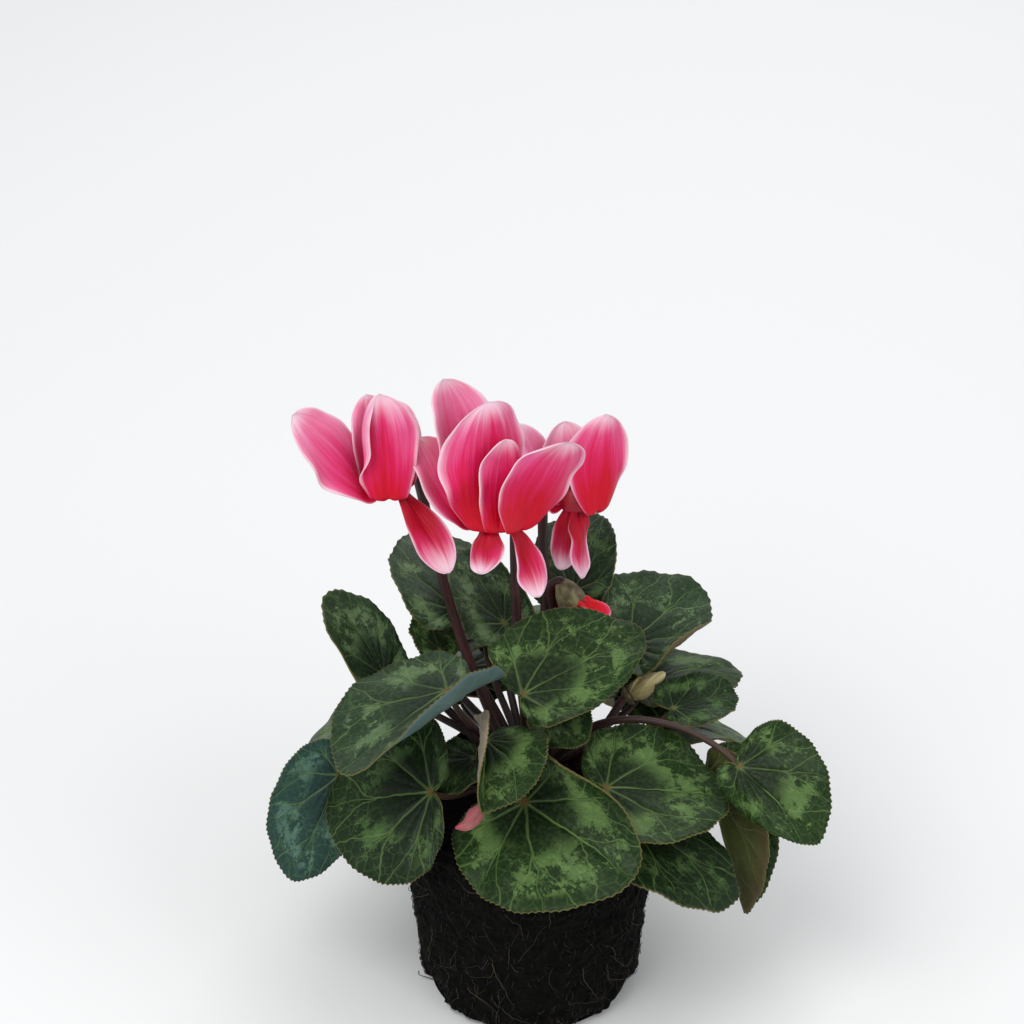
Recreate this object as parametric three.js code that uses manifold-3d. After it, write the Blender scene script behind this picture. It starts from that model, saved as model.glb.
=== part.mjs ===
// A cyclamen in flower with its bare, pot-shaped root ball. Millimetres, +Z up, its front towards -Y.
// The origin is the centre of the root ball's flat base.
import * as THREE from "three";
import Module from "manifold-3d";

const wasm = await Module();
wasm.setup();

// Driving dimensions of the root ball, which has the shape of the 10.5 cm pot it grew in.
const BALL_HEIGHT = 86;
const BALL_TOP_RADIUS = 52;
const BALL_BASE_RADIUS = 43;
const BALL_SIDES = 30;
const CRUMB = 0.9;

// The corm sits half sunk in the soil, a little behind the middle, and every stalk grows from its top.
const CROWN = new THREE.Vector3(0, 10, BALL_HEIGHT - 5);
const CORM_RADIUS = 20;
const CORM_HALF_HEIGHT = 12;

// Thicknesses, and the clear gap where two pieces of the plant meet.
const BLADE = 0.8;
const PETAL = 0.8;
const GAP = 0.35;
const FINEST = 0.02; // joins leave out edges that are finer than this
const LEAF_STALK_RADIUS = 1.7;
const FLOWER_STALK_RADIUS = 2.1;
const STALK_SIDES = 6;
const FLOWER_STALK_STEPS = 18;

const COLOURS = {
  soil: 0x11100e,
  stalk: 0x3a1c1a,
  leaf: 0x35482a,
  petal: 0xd42a58,
  opening: 0xc91f3a,
  bud: 0xb9ab74,
  calyx: 0x564a35,
};
const ROUGHNESS = { soil: 0.95, stalk: 0.5, leaf: 0.45, petal: 0.55, opening: 0.5, bud: 0.6, calyx: 0.6 };

const UP = new THREE.Vector3(0, 0, 1);
const rad = THREE.MathUtils.degToRad;
const vec = (x, y, z) => new THREE.Vector3(x, y, z);
const sum = (...terms) => terms.reduce((total, [v, k]) => total.addScaledVector(v, k), vec(0, 0, 0));
const smooth = (a, b, x) => THREE.MathUtils.smoothstep(x, a, b);

const plant = new THREE.Group();

// Adds one solid to the plant as a named mesh with its own material.
function addPiece(name, geometry, finish) {
  const material = new THREE.MeshStandardMaterial({
    color: COLOURS[finish],
    roughness: ROUGHNESS[finish],
    metalness: 0,
  });
  const mesh = new THREE.Mesh(geometry, material);
  mesh.name = name;
  plant.add(mesh);
}

// Vertices at one place become one, and faces that have lost their area go.
function welded(points, faces) {
  const places = new Map();
  const kept = [];
  const index = points.map((p) => {
    const key = [p.x, p.y, p.z].map((c) => Math.round(c * 1e3)).join();
    if (!places.has(key)) {
      places.set(key, kept.length);
      kept.push(p);
    }
    return places.get(key);
  });
  const triangles = faces
    .map((face) => face.map((i) => index[i]))
    .filter(([a, b, c]) => a !== b && b !== c && a !== c);
  return { points: kept, triangles };
}

function geometryOf(points, triangles) {
  const geometry = new THREE.BufferGeometry().setFromPoints(points);
  return geometry.setIndex(triangles.flat());
}

// Gives the surface at(u, v), u and v from 0 to 1, a thickness: the same triangles on both faces, and a wall
// round every open edge.
function thinSolid(at, across, along, thickness) {
  const grid = [];
  const faces = [];
  for (let j = 0; j <= along; j++)
    for (let i = 0; i <= across; i++) grid.push(at(i / across, j / along));
  for (let j = 0; j < along; j++)
    for (let i = 0; i < across; i++) {
      const a = j * (across + 1) + i;
      const d = a + across + 1;
      faces.push([a, a + 1, d + 1], [a, d + 1, d]);
    }
  const { points, triangles } = welded(grid, faces);
  const sheet = geometryOf(points, triangles);
  sheet.computeVertexNormals();
  const normals = sheet.getAttribute("normal");
  const n = points.length;
  const normalAt = (i) => new THREE.Vector3().fromBufferAttribute(normals, i);
  const shifted = (k) => points.map((p, i) => sum([p, 1], [normalAt(i), k]));
  const edges = new Set(triangles.flatMap(([a, b, c]) => [`${a},${b}`, `${b},${c}`, `${c},${a}`]));
  const walls = [...edges]
    .map((edge) => edge.split(",").map(Number))
    .filter(([a, b]) => !edges.has(`${b},${a}`))
    .flatMap(([a, b]) => [[b, a, a + n], [b, a + n, b + n]]);
  return geometryOf(
    [...shifted(thickness / 2), ...shifted(-thickness / 2)],
    [...triangles, ...triangles.map(([a, b, c]) => [a + n, c + n, b + n]), ...walls],
  );
}

function toSolid(geometry) {
  const flat = geometry.index ? geometry : mergedCopy(geometry);
  const position = flat.getAttribute("position");
  return new wasm.Manifold(
    new wasm.Mesh({
      numProp: 3,
      vertProperties: new Float32Array(position.array),
      triVerts: new Uint32Array(flat.index.array),
    }),
  );
}

// The same surface with its corners shared between the faces, and with positions only.
function mergedCopy(geometry) {
  const position = geometry.getAttribute("position");
  const corners = Array.from({ length: position.count }, (_, i) =>
    new THREE.Vector3().fromBufferAttribute(position, i),
  );
  const order = geometry.index ? [...geometry.index.array] : corners.map((_, i) => i);
  const faces = [];
  for (let i = 0; i < order.length; i += 3) faces.push(order.slice(i, i + 3));
  const { points, triangles } = welded(corners, faces);
  return geometryOf(points, triangles);
}

function toGeometry(solid) {
  const mesh = solid.getMesh();
  const position = new Float32Array(mesh.numVert * 3);
  for (let i = 0; i < mesh.numVert; i++)
    position.set(mesh.vertProperties.subarray(i * mesh.numProp, i * mesh.numProp + 3), i * 3);
  return new THREE.BufferGeometry()
    .setAttribute("position", new THREE.BufferAttribute(position, 3))
    .setIndex(new THREE.BufferAttribute(new Uint32Array(mesh.triVerts), 1));
}

function fused(geometries) {
  const whole = geometries.map(toSolid).reduce((joined, piece) => joined.add(piece));
  return toGeometry(whole.simplify(FINEST));
}

// A round stalk of one thickness along a curve.
function stalkAlong(curve, radius, steps) {
  const section = new THREE.Shape(
    Array.from({ length: STALK_SIDES }, (_, i) => {
      const turn = (2 * Math.PI * i) / STALK_SIDES;
      return new THREE.Vector2(radius * Math.cos(turn), radius * Math.sin(turn));
    }),
  );
  const tube = new THREE.ExtrudeGeometry(section, { extrudePath: curve, steps, bevelEnabled: false });
  return mergedCopy(tube);
}

// A turned body with its axis from `base` along `axis`, given as [radius, height] pairs from end to end.
function turned(profile, base, axis, sides) {
  const lathe = new THREE.LatheGeometry(profile.map(([r, h]) => new THREE.Vector2(r, h)), sides);
  lathe.applyQuaternion(new THREE.Quaternion().setFromUnitVectors(vec(0, 1, 0), axis.clone().normalize()));
  lathe.translate(base.x, base.y, base.z);
  return mergedCopy(lathe);
}

// Leaves. A blade is given by where its stalk meets it (foot), where its tip is, its roll about the midrib
// (positive raises the left side, seen from the foot), and by how it is curved, in degrees: bend along the
// midrib, and for the left and the right side [the cup from the midrib out, the curl near the margin, the
// fold at the midrib]. Breadth scales the two sides, and back the part behind the foot.
const LEAVES = [
  {
    name: "top_front",
    foot: [-3, -15, 145], tip: [41, 13, 153], roll: 25, bend: 14,
    left: [4, 0, 0], right: [4, 0, 0], breadth: [0.73, 0.52], back: 0.25, sway: [0, 6, 0],
  },
  {
    name: "left_front_upper",
    foot: [-32, -8, 142], tip: [-69, -37, 127], roll: 16, bend: 16,
    left: [52, 20, 0], right: [20, 0, 0], breadth: [1.2, 1.05], back: 1.15,
  },
  {
    name: "centre_front_small",
    foot: [-17, -21, 128], tip: [-18, -55, 121], roll: 8, bend: 16,
    left: [4, 0, 0], right: [60, 20, 70], breadth: [1.02, 0.7], back: 0.7,
    sway: [-1.5, 1.5, 1.5],
  },
  {
    name: "left_front",
    foot: [-38, -30, 110], tip: [-77, -14, 93], roll: -26, bend: 12,
    left: [-6, -10, -12], right: [10, 0, 22], breadth: [1.12, 1.0], back: 0.5, closer: 0.5,
  },
  {
    name: "centre_front",
    foot: [-2, -30, 105], tip: [36, -66, 99], roll: 30, bend: 16,
    left: [56, 60, 8], right: [4, 0, 0], breadth: [0.78, 1.08], back: 1.3,
  },
  {
    name: "right_front",
    foot: [29, -26, 109], tip: [74, -20, 101], roll: 16, bend: 16,
    left: [10, 6, 0], right: [16, 10, 0], breadth: [0.92, 0.95], back: 0.6,
  },
  {
    name: "right_front_low",
    foot: [37, -25, 95], tip: [78, -42, 71], roll: 0, bend: 20,
    left: [4, 0, 0], right: [4, 0, 0], breadth: [0.55, 0.95], back: 0.8,
  },
  {
    name: "left_low",
    foot: [-75, -1, 97], tip: [-93, -15, 60], roll: -50, bend: 20,
    left: [10, 6, 0], right: [10, 6, 0], breadth: [0.55, 0.72], back: 0.9, sway: [0, -4, -2],
  },
  {
    name: "right_far",
    foot: [80, -23, 117], tip: [108, -44, 99], roll: 40, bend: 14,
    left: [10, 6, 0], right: [-20, -10, 0], breadth: [0.95, 0.45], back: 0.5, sway: [-4, -2, 30],
  },
  {
    name: "right_hanging",
    foot: [70, 4, 95], tip: [84, -18, 47], roll: 30, bend: 10,
    left: [10, 10, 0], right: [20, 10, 120], breadth: [0.62, 0.7], back: 0.6, closer: 0.9,
  },
  {
    name: "right_small",
    foot: [56, 6, 124], tip: [80, 20, 122], roll: 14, bend: 14,
    left: [12, 6, 0], right: [12, 6, 0], breadth: [0.72, 0.7], back: 0.6,
  },
  {
    name: "right_back_upper",
    foot: [39, 32, 137], tip: [66, 58, 145], roll: 20, bend: 14,
    left: [10, 10, 0], right: [30, 90, 0], breadth: [1, 0.9], back: 0.9,
  },
  {
    name: "left_back_curled",
    foot: [-58, 40, 116], tip: [-78, 53, 146], roll: -16, bend: 20,
    left: [24, 60, 0], right: [14, 20, 0], breadth: [0.72, 0.5], back: 0.6,
  },
  {
    name: "back_centre",
    foot: [-10, 42, 140], tip: [-26, 68, 156], roll: 0, bend: 14,
    left: [10, 10, 0], right: [30, 90, 0], breadth: [0.75, 0.6], back: 0.8,
  },
  {
    name: "left_back_small",
    foot: [-36, 42, 127], tip: [-43, 56, 136], roll: 10, bend: 14,
    left: [12, 6, 0], right: [12, 6, 0], breadth: [0.85, 0.75], back: 0.7,
  },
  {
    name: "back_left_upper",
    foot: [-30, 46, 144], tip: [-44, 86, 154], roll: 8, bend: 22,
    left: [10, 10, 0], right: [14, 12, 0], breadth: [0.75, 0.75], back: 0.7,
  },
  {
    name: "back_right_upper",
    foot: [17, 50, 150], tip: [22, 90, 162], roll: -8, bend: 20,
    left: [12, 12, 0], right: [14, 16, 0], breadth: [0.62, 0.6], back: 0.7,
  },
  {
    name: "inner_front",
    foot: [9, -2, 127], tip: [19, -19, 124], roll: 18, bend: 14,
    left: [14, 10, 6], right: [14, 10, 6], breadth: [0.9, 0.9], back: 0.7,
  },
  {
    name: "inner_left",
    foot: [-22, -9, 111], tip: [-36, -22, 106], roll: -10, bend: 14,
    left: [14, 10, 6], right: [14, 10, 6], breadth: [0.9, 0.9], back: 0.7,
  },
];

// The back of the plant: tiers of leaves spread evenly round the crown, lowest first.
const TIERS = [
  {
    name: "back_low", azimuths: [27, 58, 90, 122, 152],
    foot: [59, 98], tip: [103, 72], bend: 34, breadth: 0.85,
  },
  {
    name: "back_middle", azimuths: [30, 60, 88, 110],
    foot: [52, 116], tip: [94, 108], bend: 30, breadth: 0.8,
  },
  {
    name: "back_under", azimuths: [66, 118], lift: 0, sway: [0, 0, 2.5],
    foot: [60, 91], tip: [98, 60], bend: 34, breadth: 0.6,
  },
];
for (const tier of TIERS)
  tier.azimuths.forEach((azimuth, i) => {
    const lift = tier.lift ?? (i % 2 ? 7 : -1);
    const place = ([r, z]) => [
      CROWN.x + r * Math.cos(rad(azimuth)),
      CROWN.y + r * Math.sin(rad(azimuth)),
      z + lift,
    ];
    LEAVES.push({
      name: `${tier.name}_${i + 1}`,
      foot: place(tier.foot),
      tip: place(tier.tip),
      roll: i % 2 ? 6 : -6,
      bend: tier.bend,
      left: [8, 10, 0],
      right: [6, 14, 0],
      breadth: [tier.breadth, tier.breadth],
      back: 0.8,
      sway: tier.sway,
    });
  });

const LEAF_SECTORS = 14;
const LEAF_RINGS = 3;
const SINUS = 0.35; // radians, how wide the notch at the foot opens
const NOTCH_EDGE = Math.PI - 0.3;
const HALF_WIDTH = 0.7; // of the length, where the blade is widest
const WAVE = 1.2;
const WAVE_CALM = 15; // how far from its foot a blade starts to wave in full

// How far the heart-shaped margin is from the foot, as a share of the length, at an angle from the midrib.
function margin(angle) {
  const heart = 0.64 + 0.34 * Math.cos(angle) + 0.02 * Math.cos(3 * angle);
  const notch = 1 - Math.exp(-(((Math.PI - Math.abs(angle)) / SINUS) ** 2));
  return heart * notch;
}

// The arc of a side seen along the midrib: it turns by `cup` evenly and by `curl` mostly near the margin.
function sideArc(y, width, [cup, curl, fold]) {
  const steps = 6;
  let across = 0;
  let lift = 0;
  for (let i = 0; i < steps; i++) {
    const share = (Math.abs(y) * (i + 0.5)) / steps / width;
    const turn = rad(fold + cup * share + curl * share ** 3);
    across += (Math.abs(y) / steps) * Math.cos(turn);
    lift += (Math.abs(y) / steps) * Math.sin(turn);
  }
  return [Math.sign(y) * across, lift];
}

function bladeFrame(leaf) {
  const foot = vec(...leaf.foot);
  const chord = vec(...leaf.tip).sub(foot);
  const along = chord.clone().normalize();
  const up = UP.clone().addScaledVector(along, -UP.dot(along)).normalize();
  up.applyAxisAngle(along, rad(leaf.roll));
  const side = up.clone().cross(along);
  const bend = rad(leaf.bend);
  const length = (chord.length() * bend) / 2 / Math.sin(bend / 2);
  return { foot, along, up, side, bend, length };
}

// The place on a blade at an angle from its midrib and a share of the way out to the margin.
function bladePoint(leaf, frame, angle, share) {
  const { foot, along, up, side, bend, length } = frame;
  const reach = share * margin(angle) * length;
  const breadth = leaf.breadth[angle > 0 ? 0 : 1];
  const x = reach * Math.cos(angle) * (Math.abs(angle) > Math.PI / 2 ? leaf.back : 1);
  const y = reach * Math.sin(angle) * breadth;
  const turn = bend / 2 - (bend * x) / length;
  const radius = length / bend;
  const ahead = radius * (Math.sin(bend / 2) - Math.sin(turn));
  const rise = radius * (Math.cos(turn) - Math.cos(bend / 2));
  const width = HALF_WIDTH * length * breadth;
  const [across, lift] = sideArc(y, width, y > 0 ? leaf.left : leaf.right);
  const wave = WAVE * share ** 2 * smooth(0, WAVE_CALM, reach) * Math.sin(5 * angle + leaf.foot[0]);
  const normal = sum([along, -Math.sin(turn)], [up, Math.cos(turn)]);
  return sum([foot, 1], [along, ahead], [up, rise], [side, across], [normal, lift + wave]);
}

function addLeaf(leaf) {
  const frame = bladeFrame(leaf);
  const at = (u, v) => bladePoint(leaf, frame, (2 * u - 1) * NOTCH_EDGE, v);
  addPiece(`leaf_${leaf.name}`, thinSolid(at, LEAF_SECTORS, LEAF_RINGS, BLADE), "leaf");
}

// A leaf stalk leaves the corm, outwards for a low leaf and steeply for a high one, and comes up under the
// foot of its blade. Sway shifts its middle, and closer brings its end nearer to the blade.
function leafStalk(leaf) {
  const { foot, along, up, bend } = bladeFrame(leaf);
  const normal = sum([along, -Math.sin(bend / 2)], [up, Math.cos(bend / 2)]);
  const out = vec(foot.x - CROWN.x, foot.y - CROWN.y, 0).normalize();
  const high = smooth(15, 55, foot.z - CROWN.z);
  const root = sum([CROWN, 1], [out, 7], [UP, 9]);
  const leave = sum([out, 1.1 - 0.8 * high], [UP, 0.5 + 0.5 * high]).normalize();
  const outward = foot.clone().sub(root).normalize();
  const arrive = sum([normal, 0.8], [outward, 0.6]).normalize();
  const tilt = Math.sqrt(1 - arrive.dot(normal) ** 2);
  const clear = BLADE / 2 + GAP + 0.5 - (leaf.closer ?? 0);
  const end = sum([foot, 1], [normal, -(clear + LEAF_STALK_RADIUS * tilt)]);
  const pull = 0.33 * root.distanceTo(end);
  const sway = vec(...(leaf.sway ?? [0, 0, 0]));
  const curve = new THREE.CubicBezierCurve3(
    root,
    sum([root, 1], [leave, pull], [sway, 1]),
    sum([end, 1], [arrive, -pull], [sway, 1]),
    end,
  );
  return stalkAlong(curve, LEAF_STALK_RADIUS, 5);
}

// Blooms. The mouth of each bloom faces down, and its petals turn back from the mouth's rim. Each is given
// by the direction it leans in, its lean from straight up (over 120 hangs), length, width, twist and cup.
const MOUTH_RADIUS = 5;
const TUBE_HEIGHT = 8;
const PETAL_ALONG = 7;
const PETAL_ACROSS = 3;
const PETAL_START = 140; // degrees from straight up
const PETAL_TURN_LENGTH = 9;
const PETAL_FLARE = 14; // degrees
const PETAL_WIDEST = 0.62; // share of the length
const PETAL_ROUND = 2.5; // 2 is an elliptical end, and more is blunter

const BLOOMS = [
  {
    name: "centre",
    mouth: [-12, 8, 208],
    axis: [0, 0.3, 1],
    stalk: [[0, 14, 93.2], [-5, 22, 150], [-6, 25, 195], [-5, 24, 215]],
    petals: [
      { azimuth: -116, lean: 4, length: 57, width: 46, twist: 8, cup: -34 },
      { azimuth: -80, lean: 10, length: 45, width: 21, twist: -36, cup: -40 },
      { azimuth: -36, lean: 24, length: 49, width: 41, twist: 28, cup: -34 },
      { azimuth: 152, lean: 13, length: 62, width: 40, twist: 5, cup: -36 },
      { azimuth: 170, lean: 28, length: 44, width: 27, twist: 40, cup: -30 },
      { azimuth: -128, lean: 162, length: 19, width: 16, twist: 0, cup: 40 },
      { azimuth: -22, lean: 160, length: 30, width: 13, twist: -30, cup: 30 },
    ],
  },
  {
    name: "left",
    mouth: [-53, 22, 214],
    axis: [-0.06, 0.25, 1],
    stalk: [[-7, 11, 93.4], [-27, 30, 140], [-38, 33, 185], [-44, 33, 216]],
    petals: [
      { azimuth: -165, lean: 34, length: 50, width: 31, twist: 45, cup: -25 },
      { azimuth: -94, lean: 4, length: 49, width: 27, twist: 10, cup: -40 },
      { azimuth: 122, lean: 6, length: 42, width: 20, twist: 10, cup: -30 },
      { azimuth: 74, lean: 8, length: 38, width: 22, twist: 0, cup: -40 },
      { azimuth: -35, lean: 146, length: 36, width: 15, twist: -40, cup: 30 },
    ],
  },
  {
    name: "right",
    mouth: [18, 46, 192],
    axis: [0, 0.25, 1],
    stalk: [[6, 11, 94.2], [6, 40, 150], [5, 54, 180], [6, 56, 198]],
    petals: [
      { azimuth: -30, lean: 2, length: 46, width: 28, twist: 30, cup: -32 },
      { azimuth: 108, lean: 6, length: 38, width: 24, twist: 0, cup: -30 },
      { azimuth: 172, lean: 20, length: 42, width: 30, twist: 8, cup: -30 },
      { azimuth: -80, lean: 165, length: 27, width: 12, twist: 40, cup: 20 },
      { azimuth: -120, lean: 165, length: 24, width: 13, twist: 0, cup: 40 },
    ],
  },
];

// The middle line of a petal leaves the mouth downwards and turns over a short stretch to its lean, with a
// slight flare towards the tip.
function petalTurn(petal, t) {
  const settled = petal.lean + PETAL_FLARE * (t - 0.5);
  return rad(settled + (PETAL_START - settled) * (1 - smooth(0, PETAL_TURN_LENGTH / petal.length, t)));
}

function petalLine(petal, share) {
  const steps = 24;
  const step = (petal.length * share) / steps;
  let reach = 0;
  let rise = 0;
  for (let i = 0; i < steps; i++) {
    const angle = petalTurn(petal, (share * (i + 0.5)) / steps);
    reach += step * Math.sin(angle);
    rise += step * Math.cos(angle);
  }
  return [reach, rise];
}

// Half the petal's width: narrow at the mouth, widest past the middle, with a round end.
function petalHalfWidth(petal, t) {
  const half = petal.width / 2;
  const base = petal.lean > 120 ? 3 : 4.4;
  if (t < PETAL_WIDEST) return base + (half - base) * Math.sin(((t / PETAL_WIDEST) * Math.PI) / 2);
  const past = (t - PETAL_WIDEST) / (1 - PETAL_WIDEST);
  return half * Math.max(0, 1 - past ** PETAL_ROUND) ** (1 / PETAL_ROUND);
}

function petalPoint(bloom, petal, across, t) {
  const mouth = vec(...bloom.mouth);
  const axis = vec(...bloom.axis).normalize();
  const lean = new THREE.Quaternion().setFromUnitVectors(UP, axis);
  const out = vec(Math.cos(rad(petal.azimuth)), Math.sin(rad(petal.azimuth)), 0).applyQuaternion(lean);
  const side = axis.clone().cross(out);
  const [reach, rise] = petalLine(petal, t);
  const turn = petalTurn(petal, t);
  const normal = sum([out, Math.cos(turn)], [axis, -Math.sin(turn)]);
  const twist = rad(petal.twist) * smooth(0, 0.5, t);
  const wide = sum([side, Math.cos(twist)], [normal, Math.sin(twist)]);
  const high = sum([normal, Math.cos(twist)], [side, -Math.sin(twist)]);
  const arc = rad(petal.cup) / (petal.width / 2);
  const y = (2 * across - 1) * petalHalfWidth(petal, t);
  const aside = Math.sin(arc * y) / arc;
  const lift = (1 - Math.cos(arc * y)) / arc;
  return sum([mouth, 1], [out, MOUTH_RADIUS + reach], [axis, rise], [wide, aside], [high, lift]);
}

// The short tube between the mouth, which is dished, and the calyx.
function corollaTube(bloom) {
  const mouth = [[0, 3], [3.4, -0.2], [5, -1.5], [6.2, -0.6]];
  const back = [[6.2, 3], [5, 6.4], [3.4, TUBE_HEIGHT], [0, TUBE_HEIGHT]];
  return turned([...mouth, ...back], vec(...bloom.mouth), vec(...bloom.axis), 10);
}

// A bloom is its tube and petals in one piece, cut clear of its own stalk.
function addBloom(bloom) {
  const petals = bloom.petals.map((petal) => {
    const at = (u, v) => petalPoint(bloom, petal, u, v);
    return thinSolid(at, PETAL_ACROSS, PETAL_ALONG, PETAL);
  });
  const whole = toSolid(fused([corollaTube(bloom), ...petals]));
  const room = toSolid(flowerStalk(bloom, FLOWER_STALK_RADIUS + GAP));
  addPiece(`bloom_${bloom.name}`, toGeometry(whole.subtract(room).simplify(FINEST)), "petal");
}

// A flower stalk rises past the mouth, hooks over inside the cup of petals and ends in the calyx on top of
// the tube.
function flowerSeat(bloom) {
  const axis = vec(...bloom.axis).normalize();
  return sum([vec(...bloom.mouth), 1], [axis, TUBE_HEIGHT + GAP]);
}

function flowerStalkLine(bloom) {
  const axis = vec(...bloom.axis).normalize();
  const seat = flowerSeat(bloom);
  const top = sum([vec(...bloom.stalk.at(-1)), 0.5], [seat, 0.5]);
  top.z = seat.z + 8;
  const end = sum([seat, 1], [axis, 3]);
  const places = [...bloom.stalk.map((p) => vec(...p)), top, end];
  return new THREE.CatmullRomCurve3(places, false, "centripetal");
}

const flowerStalk = (bloom, radius) => stalkAlong(flowerStalkLine(bloom), radius, FLOWER_STALK_STEPS);

function addFlowerStalk(bloom) {
  const calyx = turned(
    [[0, 0], [3.6, 0], [4.2, 1.2], [3, 4], [1.6, 5], [0, 5]],
    flowerSeat(bloom),
    vec(...bloom.axis),
    8,
  );
  const stalk = flowerStalk(bloom, FLOWER_STALK_RADIUS);
  addPiece(`flower_stalk_${bloom.name}`, fused([stalk, calyx]), "stalk");
}

// Flowers that are not open yet: a closed body of wrapped petals that leans or hangs from a stalk of its
// own, which ends in a small calyx. Profiles are [radius, distance past the calyx].
const YOUNG = [
  {
    name: "opening",
    stalk: [[13, 17, 88], [14, 32, 122], [10.5, 35, 146], [8, 36, 161], [12, 34, 165]],
    thickness: FLOWER_STALK_RADIUS,
    axis: [0.55, -0.12, -0.8],
    petals: [[2.8, 0.4], [5.4, 4], [7.4, 9], [8, 14], [6.8, 18], [3.6, 21]],
    calyx: [[2.4, -5], [4.8, -3], [5.2, 0]],
    finish: "opening",
  },
  {
    name: "pale",
    stalk: [[13, 9, 88], [30, 12, 112], [37, 17, 121]],
    thickness: LEAF_STALK_RADIUS,
    axis: [0.85, 0.35, 0.4],
    petals: [[2.4, 0.4], [3.6, 3], [4, 7], [2.8, 12], [1.2, 16]],
    calyx: [[2, -2.5], [3.2, -1.4], [3.6, 0]],
    finish: "bud",
  },
  {
    name: "hooked",
    stalk: [
      [-13, 17, 88], [-34, 37, 103], [-46, 39.5, 112.5],
      [-48.5, 39.5, 119], [-45, 36, 123.5], [-42, 33, 119],
    ],
    thickness: LEAF_STALK_RADIUS,
    axis: [0.1, 0, -1],
    petals: [[1.8, 0.4], [2.6, 3], [2.4, 6], [1, 9]],
    calyx: [[1.8, -1.8], [2.6, -0.8], [2.8, 0]],
    finish: "bud",
  },
];

function youngSeat(flower) {
  const axis = vec(...flower.axis).normalize();
  const depth = -flower.calyx[0][1];
  return { axis, depth, seat: sum([vec(...flower.stalk.at(-1)), 1], [axis, depth]) };
}

function youngStalk(flower) {
  const { axis, depth, seat } = youngSeat(flower);
  const line = [...flower.stalk.map((p) => vec(...p)), sum([seat, 1], [axis, -depth / 2])];
  const stalk = stalkAlong(new THREE.CatmullRomCurve3(line), flower.thickness, 12);
  return fused([stalk, turned([[0, -depth], ...flower.calyx, [0, 0]], seat, axis, 8)]);
}

function addYoungFlower(flower) {
  const { axis, seat } = youngSeat(flower);
  const first = flower.petals[0][1];
  const last = flower.petals.at(-1)[1];
  const body = turned([[0, first], ...flower.petals, [0, last + 1]], seat, axis, 8);
  addPiece(`bloom_${flower.name}`, body, flower.finish);
}

// Root ball: a tapered plug of soil with a crumbly side and a pocket for the corm.
function crumbs(x, y, z) {
  return Math.sin(x * 0.37 + z * 0.91) * Math.cos(y * 0.43 - z * 0.53) * CRUMB;
}

function rootBall() {
  const profile = [
    [0, 0],
    [BALL_BASE_RADIUS - 3, 0],
    [BALL_BASE_RADIUS, 3],
    ...[0.25, 0.5, 0.75].map((share) => [
      BALL_BASE_RADIUS + (BALL_TOP_RADIUS - BALL_BASE_RADIUS) * share,
      BALL_HEIGHT * share,
    ]),
    [BALL_TOP_RADIUS, BALL_HEIGHT - 4],
    [BALL_TOP_RADIUS - 3, BALL_HEIGHT - 0.5],
    [BALL_TOP_RADIUS * 0.6, BALL_HEIGHT + 1],
    [0, BALL_HEIGHT + 1],
  ];
  const ball = turned(profile, vec(0, 0, 0), UP, BALL_SIDES);
  const position = ball.getAttribute("position");
  for (let i = 0; i < position.count; i++) {
    const p = new THREE.Vector3().fromBufferAttribute(position, i);
    const radius = Math.hypot(p.x, p.y);
    if (p.z < 1 || radius < 1) continue;
    const bump = crumbs(p.x, p.y, p.z);
    const grow = 1 + bump / radius;
    position.setXYZ(i, p.x * grow, p.y * grow, p.z + (p.z > BALL_HEIGHT - 1 ? bump : 0));
  }
  const pocket = corm(GAP);
  return toGeometry(toSolid(ball).subtract(toSolid(pocket)));
}

function corm(extra) {
  const ball = new THREE.SphereGeometry(1, 14, 8);
  ball.rotateX(Math.PI / 2);
  ball.scale(CORM_RADIUS + extra, CORM_RADIUS + extra, CORM_HALF_HEIGHT + extra);
  ball.translate(CROWN.x, CROWN.y, CROWN.z);
  return mergedCopy(ball);
}

addPiece("root_ball", rootBall(), "soil");
const stalks = [...LEAVES.map(leafStalk), ...YOUNG.map(youngStalk)];
addPiece("corm_with_stalks", fused([corm(0), ...stalks]), "stalk");
LEAVES.forEach(addLeaf);
BLOOMS.forEach((bloom) => {
  addBloom(bloom);
  addFlowerStalk(bloom);
});
YOUNG.forEach(addYoungFlower);

export default plant;
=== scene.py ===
import math

import bmesh
import bpy
import numpy as np
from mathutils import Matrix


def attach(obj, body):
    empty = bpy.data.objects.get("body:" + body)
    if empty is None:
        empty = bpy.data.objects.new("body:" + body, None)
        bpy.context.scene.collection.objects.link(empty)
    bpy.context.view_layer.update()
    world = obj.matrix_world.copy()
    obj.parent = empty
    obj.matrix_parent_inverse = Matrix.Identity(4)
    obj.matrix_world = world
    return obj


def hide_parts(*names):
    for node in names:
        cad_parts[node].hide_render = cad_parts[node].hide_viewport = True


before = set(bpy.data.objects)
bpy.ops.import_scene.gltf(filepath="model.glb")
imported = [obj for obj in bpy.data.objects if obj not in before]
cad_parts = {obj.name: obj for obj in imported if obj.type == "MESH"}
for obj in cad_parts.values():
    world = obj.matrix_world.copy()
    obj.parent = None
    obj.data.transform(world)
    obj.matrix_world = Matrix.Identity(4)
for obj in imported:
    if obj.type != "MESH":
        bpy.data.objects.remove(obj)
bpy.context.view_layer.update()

MM = 0.001

# Sizes that the solids share
BALL_HEIGHT = 86
BALL_TOP_RADIUS = 52
BALL_BASE_RADIUS = 43
CROWN = np.array([0.0, 10.0, BALL_HEIGHT - 5.0])
MEAN_RADIUS = 48  # round which the root ball's fibres run
CORM_RADIUS = 20
CORM_HALF_HEIGHT = 12
BLADE = 0.8
GAP = 0.35
LEAF_STALK_RADIUS = 1.7
FLOWER_STALK_RADIUS = 2.1
UP = np.array([0.0, 0.0, 1.0])

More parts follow.
